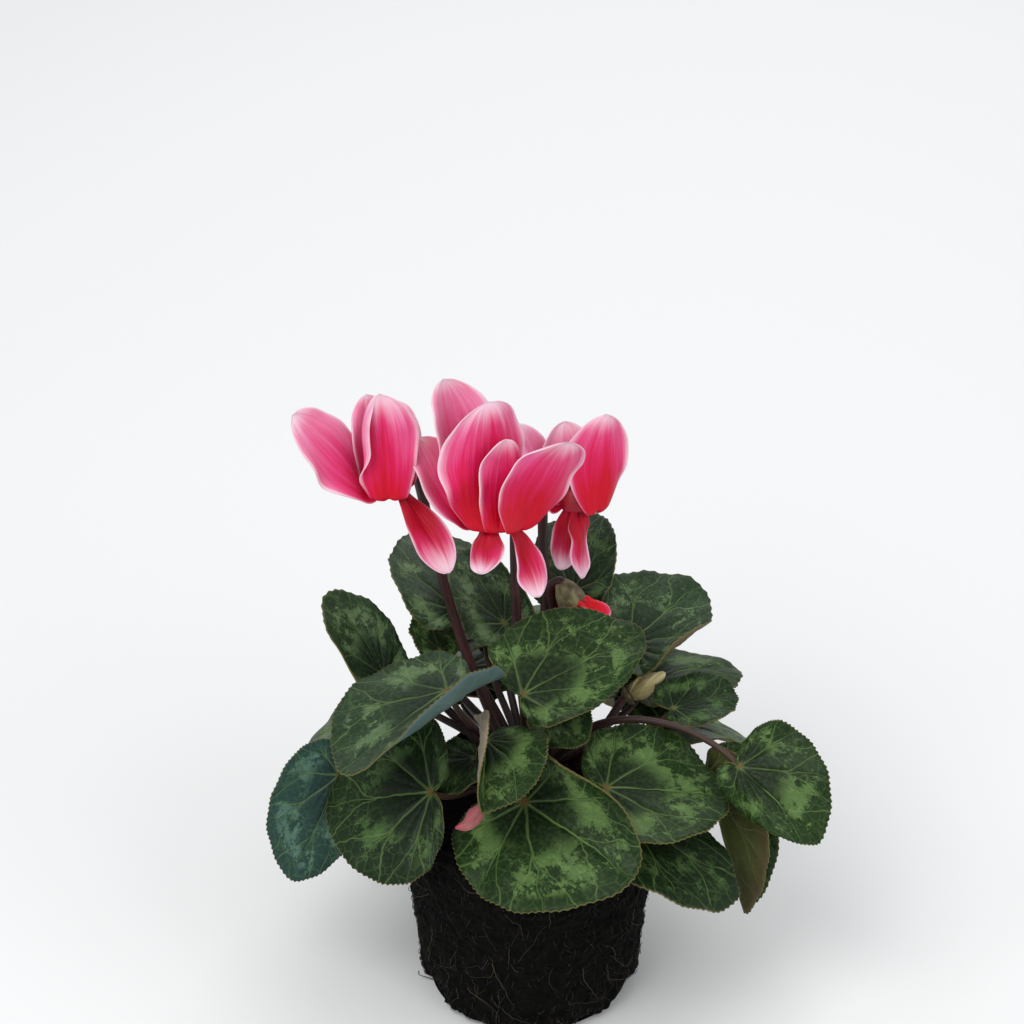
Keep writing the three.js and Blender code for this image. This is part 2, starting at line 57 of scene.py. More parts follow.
# Finer sizes
LEAF_THICKNESS = 0.55
PETAL_THICKNESS = 0.4
LEAF_SECTORS = 400
HIDDEN_LEAF_SECTORS = 200
LEAF_RINGS = 16
TOOTH = 0.38
VEIN_STEP = math.radians(38)
HIDDEN_FROM = 30  # a leaf whose foot is further back than this is mostly hidden
WELD = 2e-6  # in metres: points closer together than this become one
PATTERN = 50  # a map's unit along a stalk, a petal or the root ball
LEAF_LENGTH = 50  # a usual one, for the breadth of painted veins
LOBES = 5  # petals round a bud, and swellings round a calyx
PROFILE_STEPS = 6
PROFILE_EASE = 0.6


def unit(v):
    """The vector or vectors v at length 1."""
    v = np.asarray(v, float)
    return v / np.linalg.norm(v, axis=-1, keepdims=True)


def smooth(low, high, x):
    """0 at low, 1 at high, held beyond them, and an eased step between; high may be the lower number."""
    t = np.clip((np.asarray(x, float) - low) / (high - low), 0, 1)
    return t * t * (3 - 2 * t)


LATTICE_SIZE = 32
LATTICE = np.random.default_rng(11).random((LATTICE_SIZE,) * 3) * 2 - 1


def bumps(points, size):
    """Noise from -1 to 1 at the points: random values at the corners of cubes of that size, eased between."""
    scaled = np.asarray(points) / size
    cell = np.floor(scaled).astype(int)
    part = scaled - cell
    part = part * part * (3 - 2 * part)
    total = 0
    for corner in np.ndindex(2, 2, 2):
        weight = np.prod(np.where(corner, part, 1 - part), axis=-1)
        place = (cell + corner) % LATTICE_SIZE
        total = total + weight * LATTICE[place[..., 0], place[..., 1], place[..., 2]]
    return total


def together(*parts):
    """Arrays stretched to one shape and put side by side, as coordinates or as a map."""
    return np.stack(np.broadcast_arrays(*parts), -1)


def running(parts):
    """0, and then the sum of the parts up to each one."""
    return np.concatenate([[0], np.cumsum(parts)])


def distance(line):
    """How far along a line of points each one is."""
    return running(np.linalg.norm(np.diff(line, axis=0), axis=1))


def toward(azimuth):
    """The level direction at that many degrees round from +X."""
    return np.array([math.cos(math.radians(azimuth)), math.sin(math.radians(azimuth)), 0])


def cubic(p, q, leave, arrive, s):
    """The smooth curve from p to q with the slopes it leaves and arrives with, at the shares s of the way."""
    return ((2 * s**3 - 3 * s**2 + 1) * p + (s**3 - 2 * s**2 + s) * leave
            + (3 * s**2 - 2 * s**3) * q + (s**3 - s**2) * arrive)


def placed(name, data):
    """A new object in the scene."""
    made = bpy.data.objects.new(name, data)
    bpy.context.scene.collection.objects.link(made)
    return made


# Meshes: every surface is a grid of points with maps, and a piece is one or more grids.
def grid(points, **maps):
    """A surface: points[row, column] in millimetres, and its maps[row, column] of two numbers each."""
    return {"points": np.asarray(points, float), "maps": maps, "finish": 0}


def add_piece(name, grids, finishes, nodes, thickness=None):
    """One object from all the grids. Points at one place are welded, so that seams, tips and poles close.
    With a thickness, in millimetres, the sheet gets an upper and a lower face and a rim, and the lower face
    the second finish."""
    points, quads, finish_of = [], [], []
    maps = {key: [] for key in grids[0]["maps"]}
    start = 0
    for g in grids:
        rows, columns, _ = g["points"].shape
        index = start + np.arange(rows * columns).reshape(rows, columns)
        corners = [index[:-1, :-1], index[:-1, 1:], index[1:, 1:], index[1:, :-1]]
        quads.append(np.stack(corners, -1).reshape(-1, 4))
        finish_of.append(np.full((rows - 1) * (columns - 1), g["finish"]))
        points.append(g["points"].reshape(-1, 3))
        for key in maps:
            maps[key].append(np.broadcast_to(g["maps"][key], (rows, columns, 2)).reshape(-1, 2))
        start += rows * columns
    points, quads = np.concatenate(points), np.concatenate(quads)
    mesh = bpy.data.meshes.new(name)
    mesh.from_pydata((points * MM).tolist(), [], quads.tolist())
    mesh.polygons.foreach_set("material_index", np.concatenate(finish_of))
    for key, values in maps.items():
        layer = mesh.uv_layers.new(name=key)
        layer.data.foreach_set("uv", np.concatenate(values)[quads.ravel()].ravel())
    welded = bmesh.new()
    welded.from_mesh(mesh)
    bmesh.ops.remove_doubles(welded, verts=welded.verts, dist=WELD)
    welded.to_mesh(mesh)
    welded.free()
    mesh.shade_smooth()
    for finish in finishes:
        mesh.materials.append(finish)
    made = placed(name, mesh)
    if thickness:
        sheet = made.modifiers.new("thickness", "SOLIDIFY")
        sheet.thickness = thickness * MM
        sheet.offset = 0
        sheet.material_offset = len(finishes) - 1
    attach(made, "root")
    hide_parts(*nodes)


def tube(line, radius, sides):
    """A round skin of the given radius, one number or one for each point, about a line of points. Each ring
    stands square to the line and is turned as little as possible from the ring before. The ends are closed to
    a point."""
    count = len(line)
    radius = np.broadcast_to(radius, count)
    along = unit(np.gradient(line, axis=0))
    side = np.empty_like(line)
    start = np.eye(3)[np.argmin(np.abs(along[0]))]
    side[0] = unit(np.cross(along[0], start))
    for i in range(1, count):
        side[i] = unit(side[i - 1] - along[i] * (side[i - 1] @ along[i]))
    other = np.cross(along, side)
    turn = np.linspace(0, 2 * np.pi, sides + 1)
    ring = side[:, None] * np.cos(turn)[:, None] + other[:, None] * np.sin(turn)[:, None]
    rings = line[:, None] + ring * radius[:, None, None]
    first, last = (np.broadcast_to(line[end], rings[:1].shape) for end in (0, -1))
    run = distance(line)
    run = np.concatenate([run[:1], run, run[-1:]])[:, None]
    across = turn / (2 * np.pi)
    return grid(np.concatenate([first, rings, last]), place=together(across, run / PATTERN),
                grown=together(run / run.max(), across))


def turned(profile, base, axis, sides, ripple=0, wrap=0, twist=0):
    """A body turned about an axis: the profile's [radius, height] pairs are joined by a smooth curve. The
    radius swells by a share `ripple` in each of the lobes, and grows by a share `wrap` round each lobe to
    drop back at its end, as petals that overlap; the lobes wind by `twist` turns from end to end."""
    profile = np.array(profile, float)
    last = len(profile) - 1
    fine = np.linspace(0, last, last * PROFILE_STEPS + 1)
    slope = np.gradient(profile, axis=0) * PROFILE_EASE
    k = np.minimum(fine.astype(int), last - 1)
    curve = cubic(profile[k], profile[k + 1], slope[k], slope[k + 1], (fine - k)[:, None])
    radius, height = np.maximum(curve[:, :1], 0), curve[:, 1:]
    share = fine[:, None] / last
    turn = np.linspace(0, 2 * np.pi, sides + 1)[None]
    round_lobe = LOBES * (turn / (2 * np.pi) + twist * share)
    body = np.sin(np.pi * share)
    radius = radius * (1 + ripple * np.cos(2 * np.pi * round_lobe) + wrap * body * (round_lobe % 1 - 0.5))
    axis = unit(axis)
    side = unit(np.cross(axis, np.eye(3)[np.argmin(np.abs(axis))]))
    other = np.cross(axis, side)
    outward = np.cos(turn)[..., None] * side + np.sin(turn)[..., None] * other
    points = np.array(base) + radius[..., None] * outward + (height + 0 * turn)[..., None] * axis
    place = together(turn / (2 * np.pi), share)
    return grid(points, place=place, grown=place[..., ::-1] * 0.5)


def through(places, steps):
    """A smooth curve through the places, a Catmull-Rom curve with the knots apart by the square root of the
    distance, cut into equal stretches."""
    p = np.array(places, float)
    p = np.vstack([2 * p[0] - p[1], p, 2 * p[-1] - p[-2]])
    gap = np.sqrt(np.linalg.norm(np.diff(p, axis=0), axis=1))
    fine = []
    for i in range(1, len(p) - 2):
        d0, d1, d2 = gap[i - 1:i + 2]
        a = ((p[i] - p[i - 1]) / d0 - (p[i + 1] - p[i - 1]) / (d0 + d1) + (p[i + 1] - p[i]) / d1) * d1
        b = ((p[i + 1] - p[i]) / d1 - (p[i + 2] - p[i]) / (d1 + d2) + (p[i + 2] - p[i + 1]) / d2) * d1
        s = np.linspace(0, 1, 40, endpoint=i == len(p) - 3)[:, None]
        fine.append(cubic(p[i], p[i + 1], a, b, s))
    return even(np.concatenate(fine), steps)


def even(line, steps):
    """The same line cut into equal stretches."""
    run = distance(line)
    at = np.linspace(0, run[-1], steps + 1)
    return np.stack([np.interp(at, run, line[:, k]) for k in range(3)], -1)


# Finishes. Their colours are given as they are seen, 0 to 255.
def tint(red, green, blue):
    """A colour as it is seen, as the light values that the shader works in."""
    c = np.array([red, green, blue]) / 255
    return (*np.where(c <= 0.04045, c / 12.92, ((c + 0.055) / 1.055) ** 2.4), 1)


class Finish:
    """A surface finish under construction. Each method adds one node and returns its output; an input is a
    number, a colour or another node's output. An underscore in a socket's name stands for a space."""

    def __init__(self, name, **sockets):
        self.material = bpy.data.materials.new(name)
        self.material.use_nodes = True
        self.tree = self.material.node_tree
        self.shader = next(n for n in self.tree.nodes if n.type == "BSDF_PRINCIPLED")
        for socket, value in sockets.items():
            self.shader.inputs[socket.replace("_", " ")].default_value = value

    def node(self, kind, inputs, output=0, **settings):
        made = self.tree.nodes.new("ShaderNode" + kind)
        for key, value in settings.items():
            setattr(made, key, value)
        for key, value in inputs.items():
            if isinstance(value, bpy.types.NodeSocket):
                self.tree.links.new(value, made.inputs[key])
            else:
                made.inputs[key].default_value = value
        return made.outputs[output]

    def math(self, operation, *values):
        return self.node("Math", dict(enumerate(values)), operation=operation)

    def plus(self, a, b):
        return self.math("ADD", a, b)

    def minus(self, a, b):
        return self.math("SUBTRACT", a, b)

    def times(self, a, b):
        return self.math("MULTIPLY", a, b)

    def larger(self, a, b):
        return self.math("MAXIMUM", a, b)

    def step(self, x, low, high, start=0, end=1):
        """Runs from start to end as x runs from low to high, eased."""
        inputs = {"Value": x, "From Min": low, "From Max": high, "To Min": start, "To Max": end}
        return self.node("MapRange", inputs, interpolation_type="SMOOTHSTEP")

    def mix(self, factor, a, b):
        """Runs from colour a to colour b."""
        a, b = (c if isinstance(c, bpy.types.NodeSocket) else tint(*c) for c in (a, b))
        return self.node("Mix", {0: factor, 6: a, 7: b}, 2, data_type="RGBA")

    def map(self, name):
        return self.node("UVMap", {}, uv_map=name)

    def parts(self, vector):
        first = self.node("SeparateXYZ", {0: vector})
        return first.node.outputs[0], first.node.outputs[1]

    def place(self):
        return self.node("TexCoord", {}, 3)

    def stretched(self, vector, x, y, z=1):
        return self.node("VectorMath", {0: vector, 1: (x, y, z)}, operation="MULTIPLY")

    def noise(self, vector, scale, detail=2, roughness=0.5):
        inputs = {"Vector": vector, "Scale": scale, "Detail": detail, "Roughness": roughness}
        return self.node("TexNoise", inputs)

    def cells(self, vector, scale):
        inputs = {"Vector": vector, "Scale": scale}
        return self.node("TexVoronoi", inputs, feature="DISTANCE_TO_EDGE")

    def ramp(self, x, *stops):
        """The colour at x on a ramp of (position, colour) stops."""
        made = self.node("ValToRGB", {0: x}).node
        elements = made.color_ramp.elements
        while len(elements) < len(stops):
            elements.new(0.5)
        for element, (position, colour) in zip(elements, stops):
            element.position = position
            element.color = tint(*colour)
        return made.outputs[0]

    def done(self, colour, roughness, height, depth=0.0002):
        """Links the colour, the roughness and a relief that is `depth` metres deep."""
        relief = self.node("Bump", {"Height": height, "Strength": 1, "Distance": depth})
        for socket, output in (("Base Color", colour), ("Roughness", roughness), ("Normal", relief)):
            self.tree.links.new(output, self.shader.inputs[socket])
        return self.material


def veins(f, width=1):
    """How much of a vein there is, from 0 to 1, as main veins every VEIN_STEP round the foot, forks between
    them and a faint net; then how far a place is from a main vein in mm, the share of the way to the margin,
    the distance from the foot in mm, the leaf's own tone and its flat map."""
    turn, share = f.parts(f.map("radial"))
    reach, tone = f.parts(f.map("span"))
    flat = f.map("flat")
    wander = f.times(f.minus(f.noise(flat, 4), 0.5), 0.2)
    angle = f.plus(f.times(f.minus(turn, 0.5), 2 * math.pi), wander)
    off = f.math("PINGPONG", angle, VEIN_STEP / 2)
    out = f.times(reach, LEAF_LENGTH)
    beside = f.times(off, out)
    half = f.step(share, 0, 0.95, width, 0.28 * width)
    main = f.minus(1, f.step(f.math("DIVIDE", beside, half), 0.15, 1))
    main = f.times(main, f.step(f.math("ABSOLUTE", angle), 0.3, 0.4, 1, 0.62))
    main = f.times(main, f.step(share, 0.7, 1, 1, 0.55))
    bow = f.step(share, 0.42, 1, 0, 0.42 * VEIN_STEP)
    aside = f.times(f.math("ABSOLUTE", f.minus(off, bow)), out)
    fork = f.minus(1, f.step(aside, 0.05 * width, 0.5 * width))
    fork = f.times(fork, f.step(share, 0.4, 0.5, 0, 0.6))
    net = f.minus(1, f.step(f.cells(flat, 9), 0, 0.06))
    net = f.times(net, f.step(share, 0.3, 0.6, 0, 0.2))
    return f.larger(f.larger(main, fork), net), beside, share, out, tone, flat


def leaf_finish(name, deep, green, silver, patch):
    """Upper face of a leaf: dark green, with broken silvery patches between the main veins at about two
    thirds of the way out, soft towards the foot and ragged towards the margin, pale veins, a reddish foot and
    a thin pale edge. `patch` shifts how much is silvery."""
    f = Finish(name, Specular_IOR_Level=0.17)
    vein, beside, share, out, tone, flat = veins(f)
    blotch = f.noise(flat, 3.6, 2, 0.55)
    ragged = f.minus(f.noise(f.stretched(f.map("radial"), 40, 5), 1, 5, 0.8), 0.5)
    band = f.times(f.step(f.minus(share, f.times(ragged, 0.3)), 0.36, 0.62),
                   f.step(f.plus(share, ragged), 0.76, 0.82, 1, 0))
    broken = f.plus(blotch, f.times(f.noise(flat, 22, 6, 0.85), 0.7))
    here = f.step(f.plus(broken, f.times(tone, 0.05)), 0.93 - patch, 1 - patch)
    strokes = f.step(f.plus(ragged, f.times(blotch, 0.4)), 0.26, 0.31)
    strokes = f.times(strokes, f.times(f.step(share, 0.4, 0.6), f.step(share, 0.8, 0.92, 1, 0)))
    silvery = f.larger(f.times(f.times(band, here), 0.7), f.times(strokes, 0.95))
    silvery = f.times(silvery, f.step(beside, 0.4, 1.1, 0.4, 1))
    cloud = f.noise(f.place(), 55, 3)
    # Darker towards the foot: partly the leaf's own dark centre, partly painted shade where the stalks and
    # the leaves above shade the middle of the blade.
    ground = f.mix(f.step(share, 0.05, 0.8), deep, green)
    ground = f.mix(f.times(f.step(cloud, 0.35, 0.75), 0.5), ground, deep)
    ground = f.mix(f.step(f.noise(flat, 30, 3), 0.4, 0.75, 0, 0.14), ground, silver)
    colour = f.mix(silvery, ground, silver)
    colour = f.mix(f.times(vein, 0.75), colour, (104, 132, 72))
    colour = f.mix(f.step(out, 0.6, 3, 0.7, 0), colour, (104, 66, 38))
    colour = f.mix(f.step(share, 0.988, 1, 0, 0.7), colour, (112, 104, 56))
    rough = f.plus(f.plus(f.times(cloud, 0.16), f.times(silvery, 0.06)), 0.38)
    grain = f.noise(f.place(), 900)
    height = f.minus(f.times(grain, 0.25), f.times(vein, 0.6))
    return f.done(colour, rough, height)


def underside_finish(name, ground, blush, foot):
    """Lower face of a leaf: dull, in two tones, with raised, paler veins, and a tint near the margin."""
    f = Finish(name, Specular_IOR_Level=0.25)
    vein, _, share, *_ = veins(f, 1.2)
    cloud = f.noise(f.place(), 60, 3)
    colour = f.mix(f.step(cloud, 0.35, 0.7), ground, blush)
    colour = f.mix(f.times(vein, 0.4), colour, (126, 122, 88))
    colour = f.mix(f.step(share, 0.75, 1, 0, 0.6), colour, foot)
    height = f.plus(vein, f.times(f.noise(f.place(), 800), 0.3))
    return f.done(colour, f.step(cloud, 0.2, 0.8, 0.5, 0.62), height, 0.0003)


def petal_finish(name, deep, red, pink, light, rim, pallor, tip=9):
    """A petal: deep red at the mouth in a flame of fine streaks that runs up the middle, then pink, and a
    nearly white rim that feathers inwards. `pallor` moves the pink further down, a low `tip` widens the white
    of the end."""
    f = Finish(name, Subsurface_Weight=0.2, Subsurface_Radius=(1, 0.3, 0.35), Subsurface_Scale=0.0012,
               Specular_IOR_Level=0.2)
    across, along = f.parts(f.map("petal"))
    streaky = f.map("streak")
    side = f.math("ABSOLUTE", f.minus(f.times(across, 2), 1))
    fine = f.noise(f.stretched(streaky, 46, 2), 1, 3, 0.6)
    broad = f.noise(f.stretched(streaky, 9, 1.4), 1)
    wave = f.plus(f.times(f.minus(fine, 0.5), 0.4), f.times(f.minus(broad, 0.5), 0.6))
    spread = f.times(f.math("POWER", side, 2.2), 0.36)
    rise = f.plus(f.plus(along, spread), f.plus(wave, pallor))
    colour = f.ramp(f.times(rise, 0.75), (0, deep), (0.13, red), (0.42, red), (0.62, pink), (0.9, light))
    at_side = f.times(f.math("POWER", side, 5), f.step(along, 0.05, 0.55, 0.1, 0.9))
    at_tip = f.math("POWER", along, tip)
    margin = f.step(f.plus(f.larger(at_side, at_tip), f.times(wave, 0.8)), 0.25, 0.95, 0, 0.9)
    at_edge = f.step(f.larger(side, along), 0.95, 1, 0, 0.4)
    margin = f.larger(margin, at_edge)
    colour = f.mix(f.times(margin, f.step(along, 0.03, 0.3)), colour, rim)
    shade = f.step(f.noise(f.place(), 70, 3), 0.3, 0.7, 0, 0.2)
    colour = f.mix(shade, colour, red)
    height = f.plus(fine, f.times(f.noise(f.place(), 1500), 0.2))
    return f.done(colour, f.step(broad, 0.2, 0.8, 0.45, 0.6), height, 0.00022)


def stalk_finish(name, dark, warm, gloss, end=None):
    """A stalk or tuber skin: dark and warm tones in streaks along it, with a fine grain, and another tone
    towards the end of the stalk."""
    f = Finish(name, Specular_IOR_Level=0.4)
    streak = f.noise(f.stretched(f.map("place"), 9, 5), 1, 3)
    cloud = f.noise(f.place(), 130)
    colour = f.mix(f.step(f.plus(f.times(streak, 0.6), f.times(cloud, 0.4)), 0.35, 0.65), dark, warm)
    if end:
        grown, _ = f.parts(f.map("grown"))
        colour = f.mix(f.step(grown, 0.55, 1, 0, 0.8), colour, end)
    height = f.plus(f.noise(f.place(), 1400), f.times(streak, 0.5))
    return f.done(colour, f.step(cloud, 0.2, 0.8, gloss, gloss + 0.14), height)


def soil_finish(name):
    """Damp peat: near black, with matted brown fibres and a few pale specks."""
    f = Finish(name, Specular_IOR_Level=0.08)
    coarse = f.noise(f.place(), 190, 6, 0.7)
    fibre = f.noise(f.stretched(f.place(), 1, 1, 0.3), 620, 4, 0.75)
    colour = f.mix(f.step(coarse, 0.35, 0.7), (5, 5, 4), (15, 14, 12))
    colour = f.mix(f.step(fibre, 0.54, 0.72, 0, 0.8), colour, (34, 29, 23))
    speck = f.noise(f.place(), 420, 1)
    colour = f.mix(f.step(speck, 0.77, 0.82, 0, 0.6), colour, (104, 86, 64))
    height = f.plus(f.times(coarse, 1.4), f.times(fibre, 0.8))
    return f.done(colour, f.step(fibre, 0.3, 0.7, 0.82, 0.98), height, 0.0011)


def bud_finish(name, low, high, tip):
    """Petals that are still closed: one tint at the calyx, another towards the tip, with fine streaks."""
    f = Finish(name, Subsurface_Weight=0.15, Subsurface_Radius=(1, 0.4, 0.3), Subsurface_Scale=0.001,
               Specular_IOR_Level=0.4)
    _, share = f.parts(f.map("place"))
    streak = f.noise(f.stretched(f.map("place"), 22, 3), 1, 3)
    rise = f.plus(share, f.times(f.minus(streak, 0.5), 0.5))
    colour = f.ramp(rise, (0.1, low), (0.5, high), (0.95, tip))
    return f.done(colour, f.step(streak, 0.2, 0.8, 0.4, 0.55), streak)


LEAF_MARBLED = leaf_finish("leaf_marbled", (14, 27, 8), (25, 48, 14), (94, 122, 66), 0.09)
# A darker copy of the marbled leaf, with less silver: partly the darker tone of some leaves, partly painted
# shade for leaves that lie in shadow below, inside and behind the others.
LEAF_DARK_SHADED = leaf_finish("leaf_dark_shaded", (11, 22, 9), (20, 39, 14), (70, 98, 50), 0.04)
LEAF_GREY = leaf_finish("leaf_grey", (20, 33, 20), (37, 57, 34), (98, 122, 82), 0.06)
# The leaf's green turned blue-green: a painted reflection of the pale sky, which the low left leaf shows at a
# grazing angle; its silvery pattern is its own.
LEAF_SKY_REFLECTION = leaf_finish("leaf_sky_reflection", (20, 42, 38), (36, 64, 56), (86, 118, 102), 0.06)
UNDER_OLIVE = underside_finish("leaf_underside_olive", (80, 80, 44), (58, 58, 36), (96, 72, 48))
UNDER_MOSS = underside_finish("leaf_underside_moss", (72, 80, 36), (54, 62, 30), (84, 66, 40))
UNDER_PLUM = underside_finish("leaf_underside_plum", (78, 60, 54), (96, 74, 68), (92, 52, 62))
# A blue-grey lower face: a painted reflection of the pale sky on the turned-up part of the upper left front
# leaf, seen at a grazing angle.
UNDER_SKY_REFLECTION = underside_finish("leaf_underside_sky_reflection", (66, 90, 84), (84, 106, 100), (74, 98, 100))
UNDER_PINK = underside_finish("leaf_underside_pink", (126, 122, 100), (146, 136, 118), (164, 138, 126))
TIP_PINK = underside_finish("leaf_tip_pink", (150, 78, 84), (172, 120, 112), (176, 44, 78))
PETAL_OUTER = petal_finish("petal_outer", (104, 2, 38), (200, 4, 38), (216, 30, 94), (228, 98, 152),
                           (250, 216, 229), 0.15, 6)
PETAL_INNER = petal_finish("petal_inner", (120, 4, 40), (204, 12, 56), (222, 66, 126), (234, 136, 174),
                           (250, 224, 233), 0.25)
PETAL_HANGING = petal_finish("petal_hanging", (96, 2, 30), (176, 6, 38), (204, 36, 92), (222, 112, 158),
                             (248, 220, 231), 0.04, 2.8)
PETAL_RED = petal_finish("petal_red", (110, 2, 22), (204, 4, 26), (216, 18, 58), (226, 70, 118),
                         (246, 170, 192), 0, 12)
STALK_BROWN = stalk_finish("stalk_brown", (34, 13, 14), (66, 26, 25), 0.4)
LEAF_STALK = stalk_finish("leaf_stalk", (28, 14, 13), (54, 28, 23), 0.45, (70, 52, 36))
CALYX_OLIVE = stalk_finish("calyx_olive", (44, 38, 24), (84, 76, 46), 0.5)
CALYX_PALE = stalk_finish("calyx_pale", (60, 48, 36), (128, 122, 82), 0.5)
CORM_SKIN = stalk_finish("corm_skin", (30, 22, 19), (62, 46, 38), 0.75)
SOIL = soil_finish("soil")
ROOT = stalk_finish("root_fibre", (40, 37, 26), (84, 76, 54), 0.75)
FIBRE = stalk_finish("peat_fibre", (18, 17, 15), (42, 38, 31), 0.8)
BUD_RED = bud_finish("bud_red", (150, 6, 30), (200, 14, 46), (216, 60, 100))
BUD_PALE = bud_finish("bud_pale", (122, 106, 66), (186, 172, 116), (214, 200, 150))
THROAT = bud_finish("throat", (120, 10, 34), (168, 18, 48), (140, 60, 52))


def blade(foot, tip, roll, bend, left, right, breadth, back, over=LEAF_MARBLED, under=UNDER_OLIVE, **more):
    """A leaf's numbers by name, as in the solids: where its foot and tip are, its roll and bend, the cup,
    curl and fold of the left and the right side, their breadth, the length of its back part, and the finishes
    of its two faces."""
    return dict(foot=foot, tip=tip, roll=roll, bend=bend, left=left, right=right, breadth=breadth, back=back,
                over=over, under=under, **more)


LEAVES = {
    "top_front": blade(
        (-3, -15, 145), (41, 13, 153), 25, 14, (4, 0, 0), (4, 0, 0), (0.73, 0.52), 0.25, sway=(0, 6, 0)),
    "left_front_upper": blade(
        (-32, -8, 142), (-69, -37, 127), 16, 16, (52, 20, 0), (20, 0, 0), (1.2, 1.05), 1.15, over=LEAF_GREY,
        under=UNDER_SKY_REFLECTION),
    "centre_front_small": blade(
        (-17, -21, 128), (-18, -55, 121), 8, 16, (4, 0, 0), (60, 20, 70), (1.02, 0.7), 0.7,
        sway=(-1.5, 1.5, 1.5), opens=1, under=UNDER_PINK),
    "left_front": blade(
        (-38, -30, 110), (-77, -14, 93), -26, 12, (-6, -10, -12), (10, 0, 22), (1.12, 1), 0.5, closer=0.5,
        over=LEAF_DARK_SHADED),
    "centre_front": blade(
        (-2, -30, 105), (36, -66, 99), 30, 16, (56, 60, 8), (4, 0, 0), (0.78, 1.08), 1.3),
    "right_front": blade(
        (29, -26, 109), (74, -20, 101), 16, 16, (10, 6, 0), (16, 10, 0), (0.92, 0.95), 0.6),
    "right_front_low": blade(
        (37, -25, 95), (78, -42, 71), 0, 20, (4, 0, 0), (4, 0, 0), (0.55, 0.95), 0.8, over=LEAF_DARK_SHADED),
    "left_low": blade(
        (-75, -1, 97), (-93, -15, 60), -50, 20, (10, 6, 0), (10, 6, 0), (0.55, 0.72), 0.9, sway=(0, -4, -2),
        over=LEAF_SKY_REFLECTION),
    "right_far": blade(
        (80, -23, 117), (108, -44, 99), 40, 14, (10, 6, 0), (-20, -10, 0), (0.95, 0.45), 0.5,
        sway=(-4, -2, 30), under=UNDER_PLUM),
    "right_hanging": blade(
        (70, 4, 95), (84, -18, 47), 30, 10, (10, 10, 0), (20, 10, 120), (0.62, 0.7), 0.6, closer=0.9,
        under=UNDER_MOSS),
    "right_small": blade(
        (56, 6, 124), (80, 20, 122), 14, 14, (12, 6, 0), (12, 6, 0), (0.72, 0.7), 0.6, over=LEAF_DARK_SHADED),
    "right_back_upper": blade(
        (39, 32, 137), (66, 58, 145), 20, 14, (10, 10, 0), (30, 90, 0), (1, 0.9), 0.9, over=LEAF_GREY),
    "left_back_curled": blade(
        (-58, 40, 116), (-78, 53, 146), -16, 20, (24, 60, 0), (14, 20, 0), (0.72, 0.5), 0.6, over=LEAF_GREY),
    "back_centre": blade(
        (-10, 42, 140), (-26, 68, 156), 0, 14, (10, 10, 0), (30, 90, 0), (0.75, 0.6), 0.8, over=LEAF_GREY),
    "left_back_small": blade(
        (-36, 42, 127), (-43, 56, 136), 10, 14, (12, 6, 0), (12, 6, 0), (0.85, 0.75), 0.7),
    "back_left_upper": blade(
        (-30, 46, 144), (-44, 86, 154), 8, 22, (10, 10, 0), (14, 12, 0), (0.75, 0.75), 0.7, over=LEAF_GREY),
    "back_right_upper": blade(
        (17, 50, 150), (22, 90, 162), -8, 20, (12, 12, 0), (14, 16, 0), (0.62, 0.6), 0.7, over=LEAF_DARK_SHADED),
    "inner_front": blade(
        (9, -2, 127), (19, -19, 124), 18, 14, (14, 10, 6), (14, 10, 6), (0.9, 0.9), 0.7),
    "inner_left": blade(
        (-22, -9, 111), (-36, -22, 106), -10, 14, (14, 10, 6), (14, 10, 6), (0.9, 0.9), 0.7, over=LEAF_DARK_SHADED),
}

# Rings of leaves at the back: the directions, and how far out and how high the foot and the tip are
TIERS = [
    dict(name="back_low", azimuths=(27, 58, 90, 122, 152), foot=(59, 98), tip=(103, 72), bend=34,
         breadth=0.85),
    dict(name="back_middle", azimuths=(30, 60, 88, 110), foot=(52, 116), tip=(94, 108), bend=30, breadth=0.8),
    dict(name="back_under", azimuths=(66, 118), foot=(60, 91), tip=(98, 60), bend=34, breadth=0.6, lift=0,
         sway=(0, 0, 2.5)),
]

for tier in TIERS:
    for i, azimuth in enumerate(tier["azimuths"]):
        heading = toward(azimuth)
        lift = tier.get("lift", 7 if i % 2 else -1)
        (foot_out, foot_up), (tip_out, tip_up) = tier["foot"], tier["tip"]
        LEAVES[f"{tier['name']}_{i + 1}"] = blade(
            CROWN * (1, 1, 0) + heading * foot_out + UP * (foot_up + lift),
            CROWN * (1, 1, 0) + heading * tip_out + UP * (tip_up + lift),
            6 if i % 2 else -6, tier["bend"], (8, 10, 0), (6, 14, 0), (tier["breadth"],) * 2, 0.8,
            LEAF_DARK_SHADED if i % 2 else LEAF_MARBLED, sway=tier.get("sway", (0, 0, 0)))

# The blade's margin and waves
NOTCH_EDGE = math.pi - 0.16
SINUS = 0.35
HALF_WIDTH = 0.7
POINT = 0.075
POINT_WIDTH = 0.28
WAVE = 1.2
WAVE_CALM = 15
ARCH_STEPS = 12
PUCKER = 0.3
VEIN_DEPTH = 0.26
FORK_DEPTH = 0.18
PUFF = 0.2
TEETH = (1, 0.1, -0.7, -0.2)
OPEN_FOLD = 50  # degrees that a blade opens and cups behind its foot
OPEN_CUP = 60


def blade_frame(leaf):
    """Foot, direction to the tip, where the blade faces, its left, the bend and the length along the arc."""
    foot = np.array(leaf["foot"], float)
    chord = np.array(leaf["tip"], float) - foot
    along = unit(chord)
    up = unit(UP - along * (UP @ along))
    roll = math.radians(leaf["roll"])
    up = up * math.cos(roll) + np.cross(along, up) * math.sin(roll)
    side = np.cross(up, along)
    bend = math.radians(leaf["bend"])
    length = np.linalg.norm(chord) * bend / 2 / math.sin(bend / 2)
    return foot, along, up, side, bend, length


